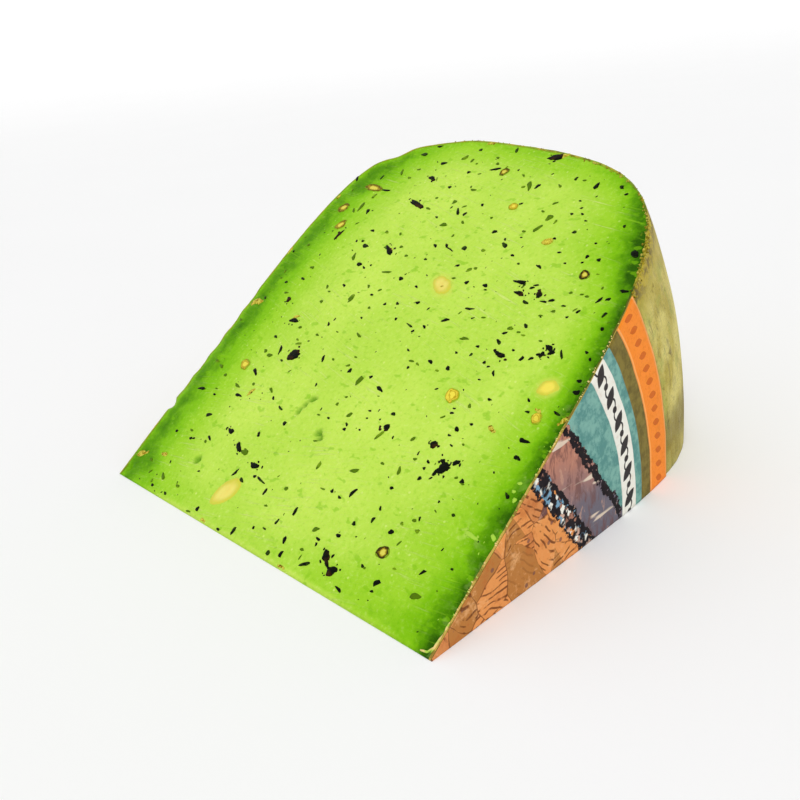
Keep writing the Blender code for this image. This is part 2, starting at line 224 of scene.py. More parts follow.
# Small dark flecks
DARK_FLECKS = (
    (-41.2, 69.0, 2.0, 0.9, -20), (-47.0, 67.0, 1.6, 0.9, -15), (-35.2, 94.0, 2.2, 1.3, -60),
    (-28.0, 87.7, 1.8, 0.9, -15), (-29.0, 84.0, 1.3, 0.9, -10), (-26.8, 82.5, 2.1, 1.7, -20),
    (-24.4, 76.5, 2.0, 1.6, -20), (-22.0, 75.8, 1.6, 0.6, -20), (-6.9, 74.2, 2.0, 1.2, -30),
    (-12.9, 68.2, 1.3, 0.8, -10), (-2.8, 67.2, 1.4, 0.9, -30), (-3.4, 96.5, 2.6, 1.1, -55),
    (-9.2, 94.3, 1.3, 0.7, -20), (-11.8, 104.4, 1.6, 0.9, -15), (-8.9, 109.8, 1.5, 1.0, -35),
    (-19.8, 112.7, 2.6, 1.1, 5), (-29.3, 115.8, 2.6, 1.6, 10), (-25.5, 118.9, 2.4, 0.8, 10),
    (-10.0, 117.9, 1.3, 1.1, 90), (-3.4, 85.5, 2.0, 0.8, -40), (0.2, 85.8, 1.6, 1.0, -50),
    (-3.5, 81.0, 1.2, 0.8, 0), (-50.8, 60.8, 1.5, 0.8, -40), (-53.2, 77.4, 1.2, 0.8, -10),
    (-49.2, 105.8, 2.4, 1.2, -60), (-34.0, 102.0, 3.6, 0.8, 0), (-0.8, 111.3, 3.6, 0.9, 15),
    (-0.2, 63.0, 1.2, 0.8, -60), (-11.0, 61.2, 1.1, 0.6, -30), (-20.0, 76.8, 1.0, 0.7, 0),
    (-35.6, 50.2, 1.7, 0.9, -25), (-30.6, 46.9, 3.4, 1.0, -70), (-27.5, 44.3, 1.4, 0.7, -10),
    (-20.2, 57.4, 1.4, 0.9, -50), (-14.1, 48.0, 2.4, 0.9, -60), (-34.0, 39.2, 3.2, 1.2, -30),
    (-34.0, 31.7, 3.4, 0.9, -5), (-39.5, 24.0, 2.2, 1.3, 25), (-39.7, 16.7, 1.4, 0.9, 0),
    (-46.7, 16.8, 1.5, 0.8, 0), (-49.5, 29.8, 3.6, 1.1, 10), (-42.7, 29.6, 1.3, 0.8, 0),
    (-16.7, 32.4, 2.4, 0.8, -15), (-12.0, 29.2, 1.4, 1.3, 0), (-17.8, 24.8, 1.1, 0.7, 0),
    (-7.6, 14.9, 3.8, 0.7, -12), (-3.8, 13.0, 2.0, 0.9, 85), (-16.6, 13.9, 2.4, 1.0, 70),
    (-13.2, 13.0, 2.2, 0.9, -15), (-20.5, 2.4, 1.6, 1.3, 15), (-41.0, 1.9, 1.5, 0.8, 0),
    (-34.6, 1.8, 1.4, 0.9, -10), (-5.3, 2.4, 2.2, 1.2, 90), (-9.9, 0.9, 1.3, 0.8, 0),
    (-0.2, 4.9, 1.0, 0.8, 90), (-9.9, 15.1, 1.2, 0.9, 0), (-33.2, 18.8, 2.0, 0.9, -25),
    (1.8, 118.0, 2.4, 0.9, -65), (15.4, 106.3, 1.9, 1.2, 60), (31.1, 107.1, 2.0, 1.4, 80),
    (39.7, 105.3, 1.0, 0.8, 0), (32.9, 93.6, 1.3, 1.1, 0), (29.3, 98.6, 1.0, 0.7, -30),
    (32.0, 98.8, 1.1, 0.7, -30), (33.9, 97.0, 0.9, 0.5, -10), (29.4, 102.6, 0.9, 0.5, 0),
    (30.9, 100.5, 0.9, 0.6, 0), (11.7, 91.5, 1.6, 1.2, 20), (13.9, 100.5, 1.4, 0.7, 10),
    (16.9, 87.9, 2.8, 1.1, -30), (16.0, 89.6, 1.0, 0.8, -60), (20.9, 85.3, 1.3, 0.8, -20),
    (6.1, 85.7, 2.0, 1.4, -40), (2.0, 84.9, 3.0, 0.5, -20), (23.8, 83.3, 1.1, 0.6, -15),
    (29.4, 83.3, 2.2, 0.7, -25), (28.9, 91.3, 1.0, 0.8, 0), (32.3, 87.7, 1.2, 0.6, 0),
    (35.2, 85.0, 1.0, 0.5, 0), (39.5, 87.4, 1.2, 1.0, 60), (39.2, 85.8, 0.8, 0.6, 0),
    (42.6, 86.9, 1.3, 1.0, 0), (43.8, 96.4, 1.2, 0.8, -50), (39.6, 91.2, 0.9, 0.6, 0),
    (31.8, 78.4, 1.6, 0.6, 20), (31.0, 77.5, 1.6, 0.7, 15), (31.6, 73.6, 2.0, 0.9, -20),
    (35.8, 74.5, 2.4, 0.5, 0), (13.2, 76.2, 1.6, 1.1, 30), (18.8, 76.1, 1.6, 1.2, -30),
    (19.6, 75.0, 1.0, 0.5, 0), (3.0, 68.4, 1.7, 1.0, -10), (-0.5, 72.7, 1.6, 0.6, -30),
    (14.3, 65.4, 2.3, 1.1, 20), (18.8, 69.4, 2.6, 0.8, 5), (35.2, 67.9, 1.5, 1.0, -25),
    (31.3, 62.8, 2.0, 1.0, -25), (9.5, 62.6, 1.3, 0.8, -35), (5.2, 62.0, 2.6, 0.6, -15),
    (7.2, 60.8, 1.1, 0.8, 0), (27.0, 60.6, 1.2, 0.7, 0), (26.6, 58.3, 0.9, 0.9, 0),
    (41.0, 60.5, 1.2, 0.8, 30), (47.0, 63.0, 2.6, 0.7, -60), (45.0, 73.4, 1.4, 0.8, 70),
    (43.3, 71.7, 0.8, 0.7, 0), (48.1, 77.1, 1.8, 0.9, 65), (41.0, 74.3, 1.5, 0.5, 0),
    (52.3, 70.5, 1.3, 0.8, -60), (52.0, 64.6, 1.1, 0.7, -30), (53.5, 63.2, 1.2, 0.6, -40),
    (52.2, 80.0, 2.0, 1.0, 10), (50.0, 89.5, 2.5, 1.9, -50), (7.4, 80.5, 1.4, 0.8, 0),
    (17.5, 54.4, 2.0, 0.9, -20), (23.0, 53.8, 1.7, 1.1, -20), (22.6, 58.0, 1.1, 0.6, -30),
    (12.5, 51.6, 1.1, 0.8, -60), (9.4, 55.8, 1.3, 0.6, -20), (31.0, 57.2, 1.1, 0.8, -30),
    (34.6, 55.3, 1.6, 0.8, -60), (32.5, 56.5, 0.9, 0.6, 0), (32.3, 53.1, 0.9, 0.5, 0),
    (37.4, 49.4, 1.1, 0.8, 0), (46.0, 51.5, 1.2, 0.6, -50), (47.2, 49.1, 1.3, 0.7, 0),
    (53.8, 58.2, 1.2, 0.9, 0), (54.6, 55.8, 1.6, 1.4, 0), (53.0, 50.5, 1.8, 0.7, -20),
    (9.0, 44.6, 2.8, 1.1, -20), (10.2, 39.0, 1.1, 0.5, 0), (10.6, 37.2, 0.8, 0.5, 0),
    (10.7, 34.1, 0.8, 0.5, 0), (16.8, 40.0, 1.5, 0.9, -15), (6.3, 34.2, 1.3, 0.8, -40),
    (6.6, 33.0, 1.4, 0.8, 0), (0.0, 34.2, 1.3, 0.6, -20), (30.8, 44.3, 1.0, 0.7, 0),
    (30.7, 45.4, 0.8, 0.5, 0), (34.2, 41.2, 1.8, 1.0, -50), (33.3, 39.5, 1.0, 0.6, 0),
    (36.7, 43.2, 1.1, 0.7, -20), (32.3, 32.8, 1.1, 0.8, -30), (32.3, 31.2, 1.0, 0.7, 0),
    (32.7, 29.0, 1.3, 0.9, 30), (27.8, 25.0, 1.2, 0.8, -20), (44.7, 24.7, 0.9, 0.8, 0),
    (19.4, 20.8, 2.6, 1.2, 65), (17.0, 18.8, 1.3, 0.7, -15), (28.2, 20.3, 1.2, 0.8, -60),
    (28.2, 17.6, 1.5, 0.9, 80), (24.4, 15.3, 1.2, 1.0, 20), (33.9, 17.0, 1.5, 1.0, 0),
    (8.1, 12.0, 2.3, 1.0, 85), (22.5, 11.7, 1.5, 0.9, 15), (18.4, 9.3, 1.8, 0.6, 0),
    (32.3, 8.7, 1.1, 0.7, -30), (45.5, 12.9, 1.6, 0.8, 50), (37.5, 5.4, 0.9, 0.7, 0),
    (8.1, 1.9, 1.5, 1.2, 0), (19.2, 3.8, 2.8, 1.1, 30), (30.3, 2.7, 2.2, 0.8, -15),
    (10.2, 5.8, 2.2, 0.9, -65), (3.0, 5.9, 1.4, 0.5, -5), (49.7, 43.2, 2.5, 1.3, 0),
    (50.4, 39.5, 2.0, 0.9, -20), (53.0, 32.0, 1.6, 0.9, -40), (50.7, 15.6, 0.9, 0.5, 0),
)

# Small green flecks, most of them a little under the cut
LEAF_FLECKS = (
    (-28.2, 78.5, 2.6, 0.9, -70), (-5.3, 92.1, 2.1, 1.1, 5), (-6.7, 99.5, 1.4, 1.0, 0),
    (-18.8, 82.8, 2.2, 0.8, -5), (-14.0, 83.8, 1.2, 0.7, 0), (-39.0, 95.5, 3.4, 1.0, 80),
    (-37.0, 99.5, 1.6, 1.0, 60), (-41.0, 94.0, 1.8, 0.7, -55), (-49.0, 80.2, 1.3, 0.9, 0),
    (-22.5, 87.8, 1.6, 0.7, -10), (-13.0, 75.5, 2.6, 0.7, 5), (-18.8, 66.0, 2.6, 1.4, 75),
    (-28.4, 63.3, 1.4, 0.8, -30), (-28.2, 66.7, 1.0, 0.5, 0), (-10.7, 64.4, 1.2, 0.6, -20),
    (-15.7, 70.4, 1.2, 0.7, -40), (-13.4, 115.0, 1.8, 1.3, 40), (-2.5, 115.2, 1.2, 0.6, -20),
    (-1.4, 113.2, 1.2, 0.7, -10), (-3.2, 104.0, 1.8, 0.7, 0), (-40.7, 73.0, 1.6, 0.8, 0),
    (-43.7, 63.7, 1.5, 0.6, 0), (-50.2, 68.0, 1.0, 0.5, 0), (-30.0, 68.0, 1.3, 0.7, -60),
    (-10.5, 81.3, 1.0, 0.8, 0), (-28.6, 107.0, 1.3, 0.6, -20), (-27.2, 110.2, 1.2, 0.6, 0),
    (-33.0, 109.0, 2.0, 0.9, -70), (-14.0, 96.8, 1.6, 0.7, -15), (-2.5, 98.4, 1.2, 0.5, 30),
    (-8.2, 113.0, 1.0, 0.5, 0), (-18.0, 19.0, 2.2, 1.4, 0), (-39.4, 5.0, 2.4, 0.9, -30),
    (-50.9, 38.6, 1.6, 0.8, 0), (-47.8, 37.6, 1.8, 0.8, -10), (-44.0, 35.6, 1.4, 0.8, -10),
    (-36.6, 34.0, 2.6, 0.6, -10), (-24.0, 36.0, 1.9, 0.7, -30), (-29.2, 54.6, 1.2, 0.8, -20),
    (-35.6, 45.6, 1.3, 0.9, 0), (-33.0, 44.6, 1.8, 1.2, 0), (-27.0, 51.0, 1.2, 0.5, -10),
    (-25.8, 50.0, 2.2, 0.6, 10), (-3.5, 34.1, 1.0, 0.5, 0), (-4.8, 48.0, 1.3, 0.6, 30),
    (-10.6, 48.4, 0.9, 0.6, 0), (-7.8, 56.3, 2.0, 0.6, -25), (-4.2, 50.6, 1.0, 0.5, 0),
    (-21.5, 53.7, 1.2, 0.6, -20), (-0.2, 38.0, 1.0, 0.8, 0), (-54.0, 52.4, 1.2, 0.7, 0),
    (-0.9, 10.4, 1.0, 0.5, 10), (-32.0, 4.8, 1.6, 0.6, 0), (-23.0, 0.9, 1.5, 0.5, 0),
    (-41.5, 18.6, 1.4, 0.6, -10), (-48.2, 7.3, 1.6, 0.6, -10), (12.8, 106.3, 3.0, 1.0, -65),
    (24.2, 97.0, 1.6, 1.5, 0), (26.4, 96.0, 1.3, 0.7, 80), (22.8, 93.6, 2.2, 1.1, 55),
    (19.8, 92.4, 1.0, 0.6, 0), (21.4, 98.7, 1.1, 0.5, -20), (23.2, 101.3, 1.3, 0.7, 40),
    (21.5, 106.7, 1.3, 0.6, -40), (27.2, 108.7, 1.0, 0.5, 0), (9.2, 109.5, 1.1, 0.6, -30),
    (11.9, 85.8, 1.2, 0.8, -10), (11.6, 79.8, 1.4, 1.0, 30), (13.0, 80.4, 0.9, 0.8, 0),
    (8.8, 76.8, 1.1, 0.6, 0), (23.7, 67.9, 1.2, 0.4, 0), (32.0, 66.6, 1.6, 0.7, 0),
    (22.4, 61.8, 2.2, 0.7, 5), (45.0, 77.5, 0.8, 0.6, 0), (40.8, 77.8, 0.9, 0.6, 0),
    (43.6, 77.8, 0.9, 0.4, 0), (39.5, 72.5, 1.0, 0.6, 0), (37.2, 71.0, 1.0, 0.4, 0),
    (40.8, 65.0, 0.9, 0.4, 0), (36.0, 65.5, 1.0, 0.4, 0), (34.5, 66.0, 0.9, 0.5, 0),
    (0.2, 93.4, 1.4, 0.7, -50), (0.0, 89.0, 0.8, 0.8, 0), (8.0, 95.6, 0.9, 0.6, 0),
    (14.4, 53.0, 1.2, 0.5, -30), (20.6, 52.7, 0.9, 0.6, 0), (1.6, 45.3, 2.6, 1.2, 75),
    (1.1, 40.3, 0.9, 0.5, 0), (16.8, 34.6, 2.6, 0.8, 65), (5.2, 36.4, 1.8, 0.8, 50),
    (33.9, 46.8, 1.2, 0.6, -50), (29.0, 32.3, 1.0, 0.5, 0), (27.0, 28.9, 1.6, 0.8, -70),
    (22.0, 29.0, 1.0, 0.6, 0), (16.4, 25.3, 2.0, 1.0, 30), (6.2, 23.3, 1.8, 0.9, -80),
    (42.6, 31.0, 0.9, 0.4, 0), (11.4, 19.0, 1.4, 0.4, 0), (37.3, 20.8, 1.2, 0.6, 0),
    (39.2, 19.2, 1.1, 0.7, 0), (35.0, 19.3, 0.9, 0.6, 0), (16.3, 10.8, 1.8, 0.9, 25),
    (47.0, 8.4, 2.0, 1.2, 20), (39.4, 11.0, 0.9, 0.4, 0), (16.1, 5.9, 1.2, 0.6, 0),
    (1.5, 15.6, 1.2, 0.8, 0),
)

# Brown and golden blotches where a seed or a stalk was smeared by the knife
BLOTCHES = (
    (-53.2, 58.9, 4.8, 3.4, 20), (-53.2, 7.7, 4.8, 2.2, 15), (-44.9, 10.2, 2.5, 1.6, 0),
    (-33.2, 57.4, 2.2, 1.3, 30), (-30.3, 33.6, 2.4, 1.8, 60), (-55.0, 77.5, 2.2, 1.4, 70),
    (-51.3, 98.5, 2.0, 1.2, 70),
    (-8.2, 120.3, 3.0, 1.2, 5), (17.6, 116.4, 2.6, 1.6, 20), (-16.4, 0.9, 2.2, 1.0, 0),
    (13.8, 0.9, 2.6, 0.9, 0), (-16.6, 82.2, 2.4, 1.0, -50), (49.5, 49.8, 2.2, 1.2, -40),
    (41.8, 43.4, 2.4, 1.4, -40), (55.2, 49.2, 3.4, 1.6, 78), (7.0, 74.0, 1.1, 0.8, 0),
)

# Torn shreds of paste by the label's edge
SHREDS = (
    (50.5, 22.6, 3.8, 1.2, -10), (48.6, 23.1, 1.6, 0.7, 25), (54.9, 23.8, 1.9, 0.9, -35),
    (54.8, 31.6, 1.3, 0.9, 50), (54.0, 35.0, 1.2, 0.8, 10), (53.7, 33.2, 1.0, 0.7, 0),
)

# Strips of the label's paper and coat that the knife pulled along the edge's lower end
STRIPS = (
    (56.0, 2.9, 4.2, 0.5, 86), (55.5, 1.8, 2.4, 0.5, 55), (54.5, 1.0, 2.0, 0.5, 12),
    (56.1, 6.4, 2.6, 0.4, 88),
)

# Small shapes from the top down: each ring's share of the radius, and its height
SEED_RINGS = (
    (0.25, 0.12 * MM), (0.45, 0.14 * MM), (0.62, 0.05 * MM), (0.76, 0.18 * MM), (0.90, 0.22 * MM),
    (1.0, 0.12 * MM), (1.06, -0.05 * MM), (0.9, -0.5 * MM),
)
SMEAR_RINGS = ((0.4, 0.13 * MM), (0.75, 0.11 * MM), (1.0, 0.02 * MM), (0.8, -0.2 * MM))
NUT_RINGS = (
    (0.3, 0.11 * MM), (0.55, 0.12 * MM), (0.75, 0.11 * MM), (0.90, 0.08 * MM), (1.0, 0.02 * MM),
    (1.06, -0.10 * MM), (0.8, -0.5 * MM),
)
HERB_RINGS = ((0.45, 0.20 * MM), (0.85, 0.15 * MM), (1.0, 0.04 * MM), (0.95, -0.10 * MM), (0.6, -0.3 * MM))
FLECK_RINGS = ((0.6, 0.13 * MM), (1.0, 0.05 * MM), (0.9, -0.15 * MM))
CRUMB_RINGS = ((0.5, 0.30 * MM), (0.95, 0.18 * MM), (1.0, -0.02 * MM), (0.7, -0.25 * MM))

# Lumps and flakes get their size when they are laid, so their heights have no unit
LUMP_RINGS = ((0.55, 0.42), (0.95, 0.22), (1.0, -0.05), (0.7, -0.40))
FLAKE_RINGS = ((0.72, 0.04), (1.0, -0.01), (0.75, -0.12))

# How many sides the small shapes have. Flecks of LONG_FLECK mm and more get the second number
SEED_SIDES = 20
SMEAR_SIDES = 15
NUT_SIDES = 28
HERB_SIDES = 19
SCRAP_SIDES = 8
CRUMB_SIDES = 7
FLECK_SIDES = (9, 13)
LONG_FLECK = 1.5

# Crumbs by the rind on the upper cut: how many, between which shares of the rind's line, how far in
# from it, and their least and largest size in mm. The lumps below the cut lie at the line itself
RIND_CRUMBS = ((70, 0.64, 0.80, 0.35 * MM, 0.2, 0.8), (20, 0.44, 0.64, 0.15 * MM, 0.2, 0.4))
PAPER_CRUMBS = (70, 0.81, 0.98, 0.12 * MM, 0.2, 0.6)
RIND_LUMPS = ((90, 0.748, 0.798, 0.3, 1.3), (40, 0.60, 0.748, 0.3, 0.6))

# The label's print. Each skyline has its height in the picture, its swing, its pattern's scale and its
# outline's width: the hedge's, the hills' and the sky's
PICTURE_UP = math.radians(31)
SKYLINES = ((0.0355, 0.0030, 120, 0.0006), (0.0395, 0.0040, 90, 0.0009), (0.0492, 0.0050, 105, 0.0020))
LEAF_PITCH = 0.0066
LEAF_SIZE = 0.0050
LEAF_LEAN = math.radians(52)
DOT_SIZE = 0.0015
VINE_SWING = 0.0009
OVAL_PITCH = 0.0036
OVAL_SIZE = 0.0034
OVAL_LEAN = math.radians(-64)
LINE_HALF = 0.0002


def srgb(red, green, blue):
    """A colour on the usual 0 to 255 scale, as the linear values that shaders take."""
    shares = (red / 255, green / 255, blue / 255)
    return tuple(((share + 0.055) / 1.055) ** 2.4 if share > 0.04 else share / 12.92 for share in shares)


# Finer shades of the print, the seeds and nuts, and the floor
STUBBLE = srgb(212, 138, 80)
CREAM = srgb(226, 214, 190)
STRAW = srgb(240, 184, 126)
SKY_BLUE = srgb(118, 160, 186)
BLUSH = srgb(206, 170, 150)
ROSE = srgb(186, 128, 106)
PALE_ROSE = srgb(204, 160, 138)
CHALK = srgb(226, 208, 186)
DARK_OLIVE = srgb(104, 92, 44)
DEEP_ORANGE = srgb(226, 112, 34)
BURNT_ORANGE = srgb(196, 88, 20)
PALE_ORANGE = srgb(255, 186, 112)
RIPE_HALO = srgb(124, 150, 20)
BRIGHT_SEED = srgb(238, 222, 72)
AMBER = srgb(186, 156, 6)
GOLDEN_HALO = srgb(150, 180, 28)
CHESTNUT = srgb(110, 78, 4)
NUT_VEIN = srgb(232, 208, 92)
NUT_HALO = srgb(190, 216, 74)
FLOOR_CLOUD = (0.8, 0.8, 0.8)


def colour(name, description, red, green, blue):
    return FloatVectorProperty(
        name=name, description=description, subtype="COLOR", size=3, min=0, max=1,
        default=srgb(red, green, blue),
    )


def length(name, description, millimetres):
    return FloatProperty(
        name=name, description=description, subtype="DISTANCE", unit="LENGTH", default=millimetres * MM
    )


class CheesePasteSettings(bpy.types.PropertyGroup):
    # Pale green is partly painted light: the highlight on the knife lines' ridges and on the grain, and the
    # glints
    pale: colour("Pale green", "Rubbed lines and specks on the cut face", 222, 240, 138)
    light: colour("Light green", "Paste in the middle of the cut face", 196, 229, 90)
    # Outer green also paints the shade in the knife lines' grooves
    deep: colour("Deep green", "Clouds in the paste", 182, 221, 76)
    outer: colour("Outer green", "Paste where the rind zone begins", 156, 208, 44)
    edge: colour("Edge green", "Paste in the middle of the rind zone", 126, 189, 14)
    rind: colour("Rind green", "Dried paste a little inside the rind", 84, 145, 0)
    dark: colour("Dark green", "Darkest paste, under the label side's rind", 44, 92, 0)
    # Painted shade inside the open eyes
    hollow: colour("Hollow green", "Inside the open eyes", 84, 146, 12)
    glow: colour("Glow", "Paste round the rounder nuts", 216, 222, 96)
    swell: length("Swell", "Height of the slow unevenness of the cut", 0.16)
    drag: length("Knife drag", "Height of the lines that the knife left", 0.055)
    tear: length("Tears", "Height of the torn paste beside the label", 0.30)
    eye_depth: length("Eye depth", "Depth of the open eyes in the cut", 1.3)


class CheeseCoatSettings(bpy.types.PropertyGroup):
    thickness: length("Thickness", "Thickness of the coat and dried rind", 0.45)
    streak: length("Streak height", "Height of the streaks round the rim", 0.07)
    khaki: colour("Khaki", "Main colour of the coated rind", 178, 161, 56)
    # Pale is partly worn coat and partly a painted highlight along the rim
    pale: colour("Pale", "Rubbed places on the rind", 216, 204, 114)
    green: colour("Rind green", "Greener patches on the rind", 160, 168, 66)
    gold: colour("Gold", "Yellow stains by the cut", 186, 164, 30)
    umber: colour("Umber", "Stains and spots on the rind", 100, 82, 6)
    cut: colour("Cut edge", "The coat's own cut edge", 140, 172, 44)
    cut_dark: colour("Dark cut edge", "The cut edge at the label side's shoulder", 66, 92, 8)
    cut_yellow: colour("Yellow cut edge", "Patches along the cut edge", 178, 166, 44)
    cut_by_label: colour("Cut edge by the label", "The cut edge along the label", 196, 168, 76)


class CheeseLabelSettings(bpy.types.PropertyGroup):
    thickness: length("Thickness", "Thickness of the paper", 0.22)
    radius: length("Radius", "Outer radius of the round label", 79.2)
    orange_from: length("Orange ring", "Inner radius of the orange ring", 70.7)
    olive_from: length("Olive ring", "Inner radius of the olive ring", 66.65)
    teal_from: length("Teal ring", "Inner radius of the teal ring", 64.0)
    white_from: length("White ring", "Inner radius of the white ring", 58.45)
    orange: colour("Orange", "Orange ring", 248, 142, 44)
    olive: colour("Olive", "Olive ring", 130, 115, 50)
    teal: colour("Teal", "Teal ring and sky", 88, 142, 136)
    pale_teal: colour("Pale teal", "Clouds in the teal", 126, 176, 164)
    white: colour("White", "White ring", 238, 237, 226)
    ink: colour("Ink", "Outlines, hedges and leaves", 26, 19, 24)
    mauve: colour("Mauve", "Far fields", 168, 118, 98)
    slate: colour("Slate", "The hills' shaded side", 108, 104, 116)
    plum: colour("Plum", "Shadows on the hills and fields", 112, 76, 72)
    bark: colour("Bark", "Ploughed lines and thin hedges", 104, 54, 24)
    apricot: colour("Apricot", "Light fields", 230, 152, 84)
    rust: colour("Rust", "Darker washes in the fields", 184, 100, 44)
    tan: colour("Tan", "Bare ground near the middle", 184, 122, 60)


class CheeseInclusionSettings(bpy.types.PropertyGroup):
    black: colour("Black herb", "Herb pieces at the cut", 6, 12, 2)
    bottle: colour("Bottle green", "Lighter places on the dark flecks", 44, 70, 2)
    brown: colour("Brown herb", "Dry stalks among the herbs", 54, 32, 8)
    leaf: colour("Leaf green", "Small flecks just under the cut", 82, 116, 4)
    sunk_leaf: colour("Sunk leaf green", "Flecks deeper in the paste", 116, 152, 14)
    seed_flesh: colour("Seed flesh", "Middle of a cut seed", 218, 210, 84)
    seed_gold: colour("Seed gold", "Between a seed's flesh and its husk", 166, 144, 16)
    seed_husk: colour("Seed husk", "Rim of a cut seed", 46, 34, 0)
    nut: colour("Nut", "Middle of a pine nut", 234, 222, 112)
    yellow_nut: colour("Yellow nut", "Middle of a nut that took the paste's colour", 240, 224, 84)
    nut_edge: colour("Nut edge", "Where a nut sinks into the paste", 208, 204, 62)
    crumb: colour("Crumb", "Loose crumbs of paste", 166, 210, 70)
    pale_crumb: colour("Pale crumb", "Lightest crumbs of dried rind", 206, 194, 90)
    gold_crumb: colour("Golden crumb", "Crumbs of dried rind", 160, 146, 36)
    umber_crumb: colour("Brown crumb", "Darker crumbs of dried rind", 88, 68, 8)
    shred: colour("Shred", "Torn bits of paper at the thin edge's end", 234, 208, 132)
    dark_spacing: length("Dark spacing", "Least distance between dark flecks", 2.6)
    leaf_spacing: length("Leaf spacing", "Least distance between green flecks", 3.0)
    fleck_smallest: length("Smallest fleck", "Length of the smallest fleck", 0.55)
    fleck_largest: length("Largest fleck", "Length of the largest fleck", 2.4)
    crumb_largest: length("Largest crumb", "Length of the largest crumb", 1.1)
    seed: IntProperty(name="Seed", description="Seed of the scattered flecks", default=7, min=0)


class CheeseStageSettings(bpy.types.PropertyGroup):
    lens: FloatProperty(name="Lens", description="Focal length in mm", default=37.63, min=10, max=200)
    floor: colour("Floor", "Pale floor", 250, 250, 250)
    sky: FloatProperty(name="Room light", description="Strength of the even light", default=0.74, min=0)
    key: FloatProperty(name="Key light", description="Strength of the soft main light", default=1.05, min=0)
    softness: FloatProperty(
        name="Softness", description="How wide the main light is", default=math.radians(38),
        subtype="ANGLE", unit="ROTATION",
    )


def rim_radius(across, side):
    """The rim's radius before its corners are rounded. across runs from 0 at the crest to 1 at the
    wheel's flat face, and side is -1 towards the bare face and 1 towards the label."""
    fall = RIM_FALL_TO_LABEL_SIDE if side > 0 else RIM_FALL_TO_BARE_SIDE
    return RIM_RADIUS - fall * (math.hypot(across, CREST_ROUNDING) - CREST_ROUNDING)


def section_point(share, side):
    """A point of the wheel's section as (across, radius). share runs from 0 at the axis to 1 at the
    rim's crest."""
    turn = share * math.pi / 2
    reach_out = (math.cos(turn) ** SECTION_POWER + math.sin(turn) ** SECTION_POWER) ** (1 / SECTION_POWER)
    across = math.cos(turn) / reach_out
    out = math.sin(turn) / reach_out
    half = side * HALF_HEIGHT - RIM_CREST_OFFSET
    return RIM_CREST_OFFSET + half * across, rim_radius(across, side) * out


def section_line():
    """The rind's line in the section, from the thin edge on the bare side, over the rim, to the thin
    edge on the label side."""
    shares = [step / SECTION_SAMPLES for step in range(SECTION_SAMPLES + 1)]
    line = [section_point(share, -1) for share in shares]
    line += [section_point(share, 1) for share in reversed(shares[:-1])]
    return np.array(line)


def normals_of(line):
    """The outward normals of a line whose inside is on its right."""
    along = np.gradient(line, axis=0)
    along /= np.linalg.norm(along, axis=1, keepdims=True)
    return np.stack([-along[:, 1], along[:, 0]], axis=1)


def line_length(line):
    return float(np.linalg.norm(np.diff(line, axis=0), axis=1).sum())


def evenly(line, count):
    """count + 1 points at even distances along a line."""
    steps = np.linalg.norm(np.diff(line, axis=0), axis=1)
    far = np.concatenate([[0], np.cumsum(steps)])
    wanted = np.linspace(0, far[-1], count + 1)
    return np.stack([np.interp(wanted, far, line[:, axis]) for axis in (0, 1)], axis=1)


def rind_line(inset, first=0.0, last=1.0):
    """The section's line moved inwards, cut off at the worn tip, or a stretch of it between shares."""
    line = section_line()
    line = line - normals_of(line) * inset
    line = line[line[:, 1] >= WORN_TIP * 0.5]
    line[0, 1] = line[-1, 1] = WORN_TIP
    count = len(line) - 1
    return line[round(first * count) : round(last * count) + 1]


def placed(across, radius, angle, lift):
    """Points of the frame as an array. lift raises each one square to the cut plane at its angle."""
    across, radius, angle, lift = np.broadcast_arrays(across, radius, angle, lift)
    y = radius * np.cos(angle) - lift * np.sin(angle)
    z = radius * np.sin(angle) + lift * np.cos(angle)
    return np.stack([across + AXIS.x, y + AXIS.y, z + AXIS.z], axis=-1)


def smooth_step(value, low, high):
    share = min(max((value - low) / (high - low), 0.0), 1.0)
    return share * share * (3 - 2 * share)


def ellipse_share(across, radius, place):
    """How far a point is from the middle of an ellipse given in mm, with 1 on its edge."""
    middle_across, middle_radius, long_side, short_side, turn = place
    turn = math.radians(turn)
    x, y = across - middle_across * MM, radius - middle_radius * MM
    along = x * math.cos(turn) + y * math.sin(turn)
    beside = y * math.cos(turn) - x * math.sin(turn)
    return math.hypot(along / (long_side * MM / 2), beside / (short_side * MM / 2))


def tear_share(across, radius):
    """How torn the cut is: most in a patch by the label's edge, a little along the whole edge."""
    patch = nearness(across, radius, [TORN_PATCH], 0.3, 1.0)
    strip = 0.5 * smooth_step(across, 0.0525, 0.0555) * (1 - smooth_step(radius, 0.085, 0.100))
    return max(patch, strip)


def dent_at(across, radius, angle):
    """How deep the rim's shoulder is dented inwards at a place, fading away from the upper cut."""
    middle_across, middle_radius, width, depth = (value * MM for value in SHOULDER_DENT)
    far = math.hypot(across - middle_across, radius - middle_radius)
    return depth * (1 - smooth_step(far, 0, width)) * smooth_step(angle, WEDGE_ANGLE * 0.3, WEDGE_ANGLE)


def dented(places, angle):
    """Places of the cut face pushed inwards where the shoulder is dented."""
    return places + np.array([tuple(DENT_WAY * dent_at(*place, angle)) for place in places])


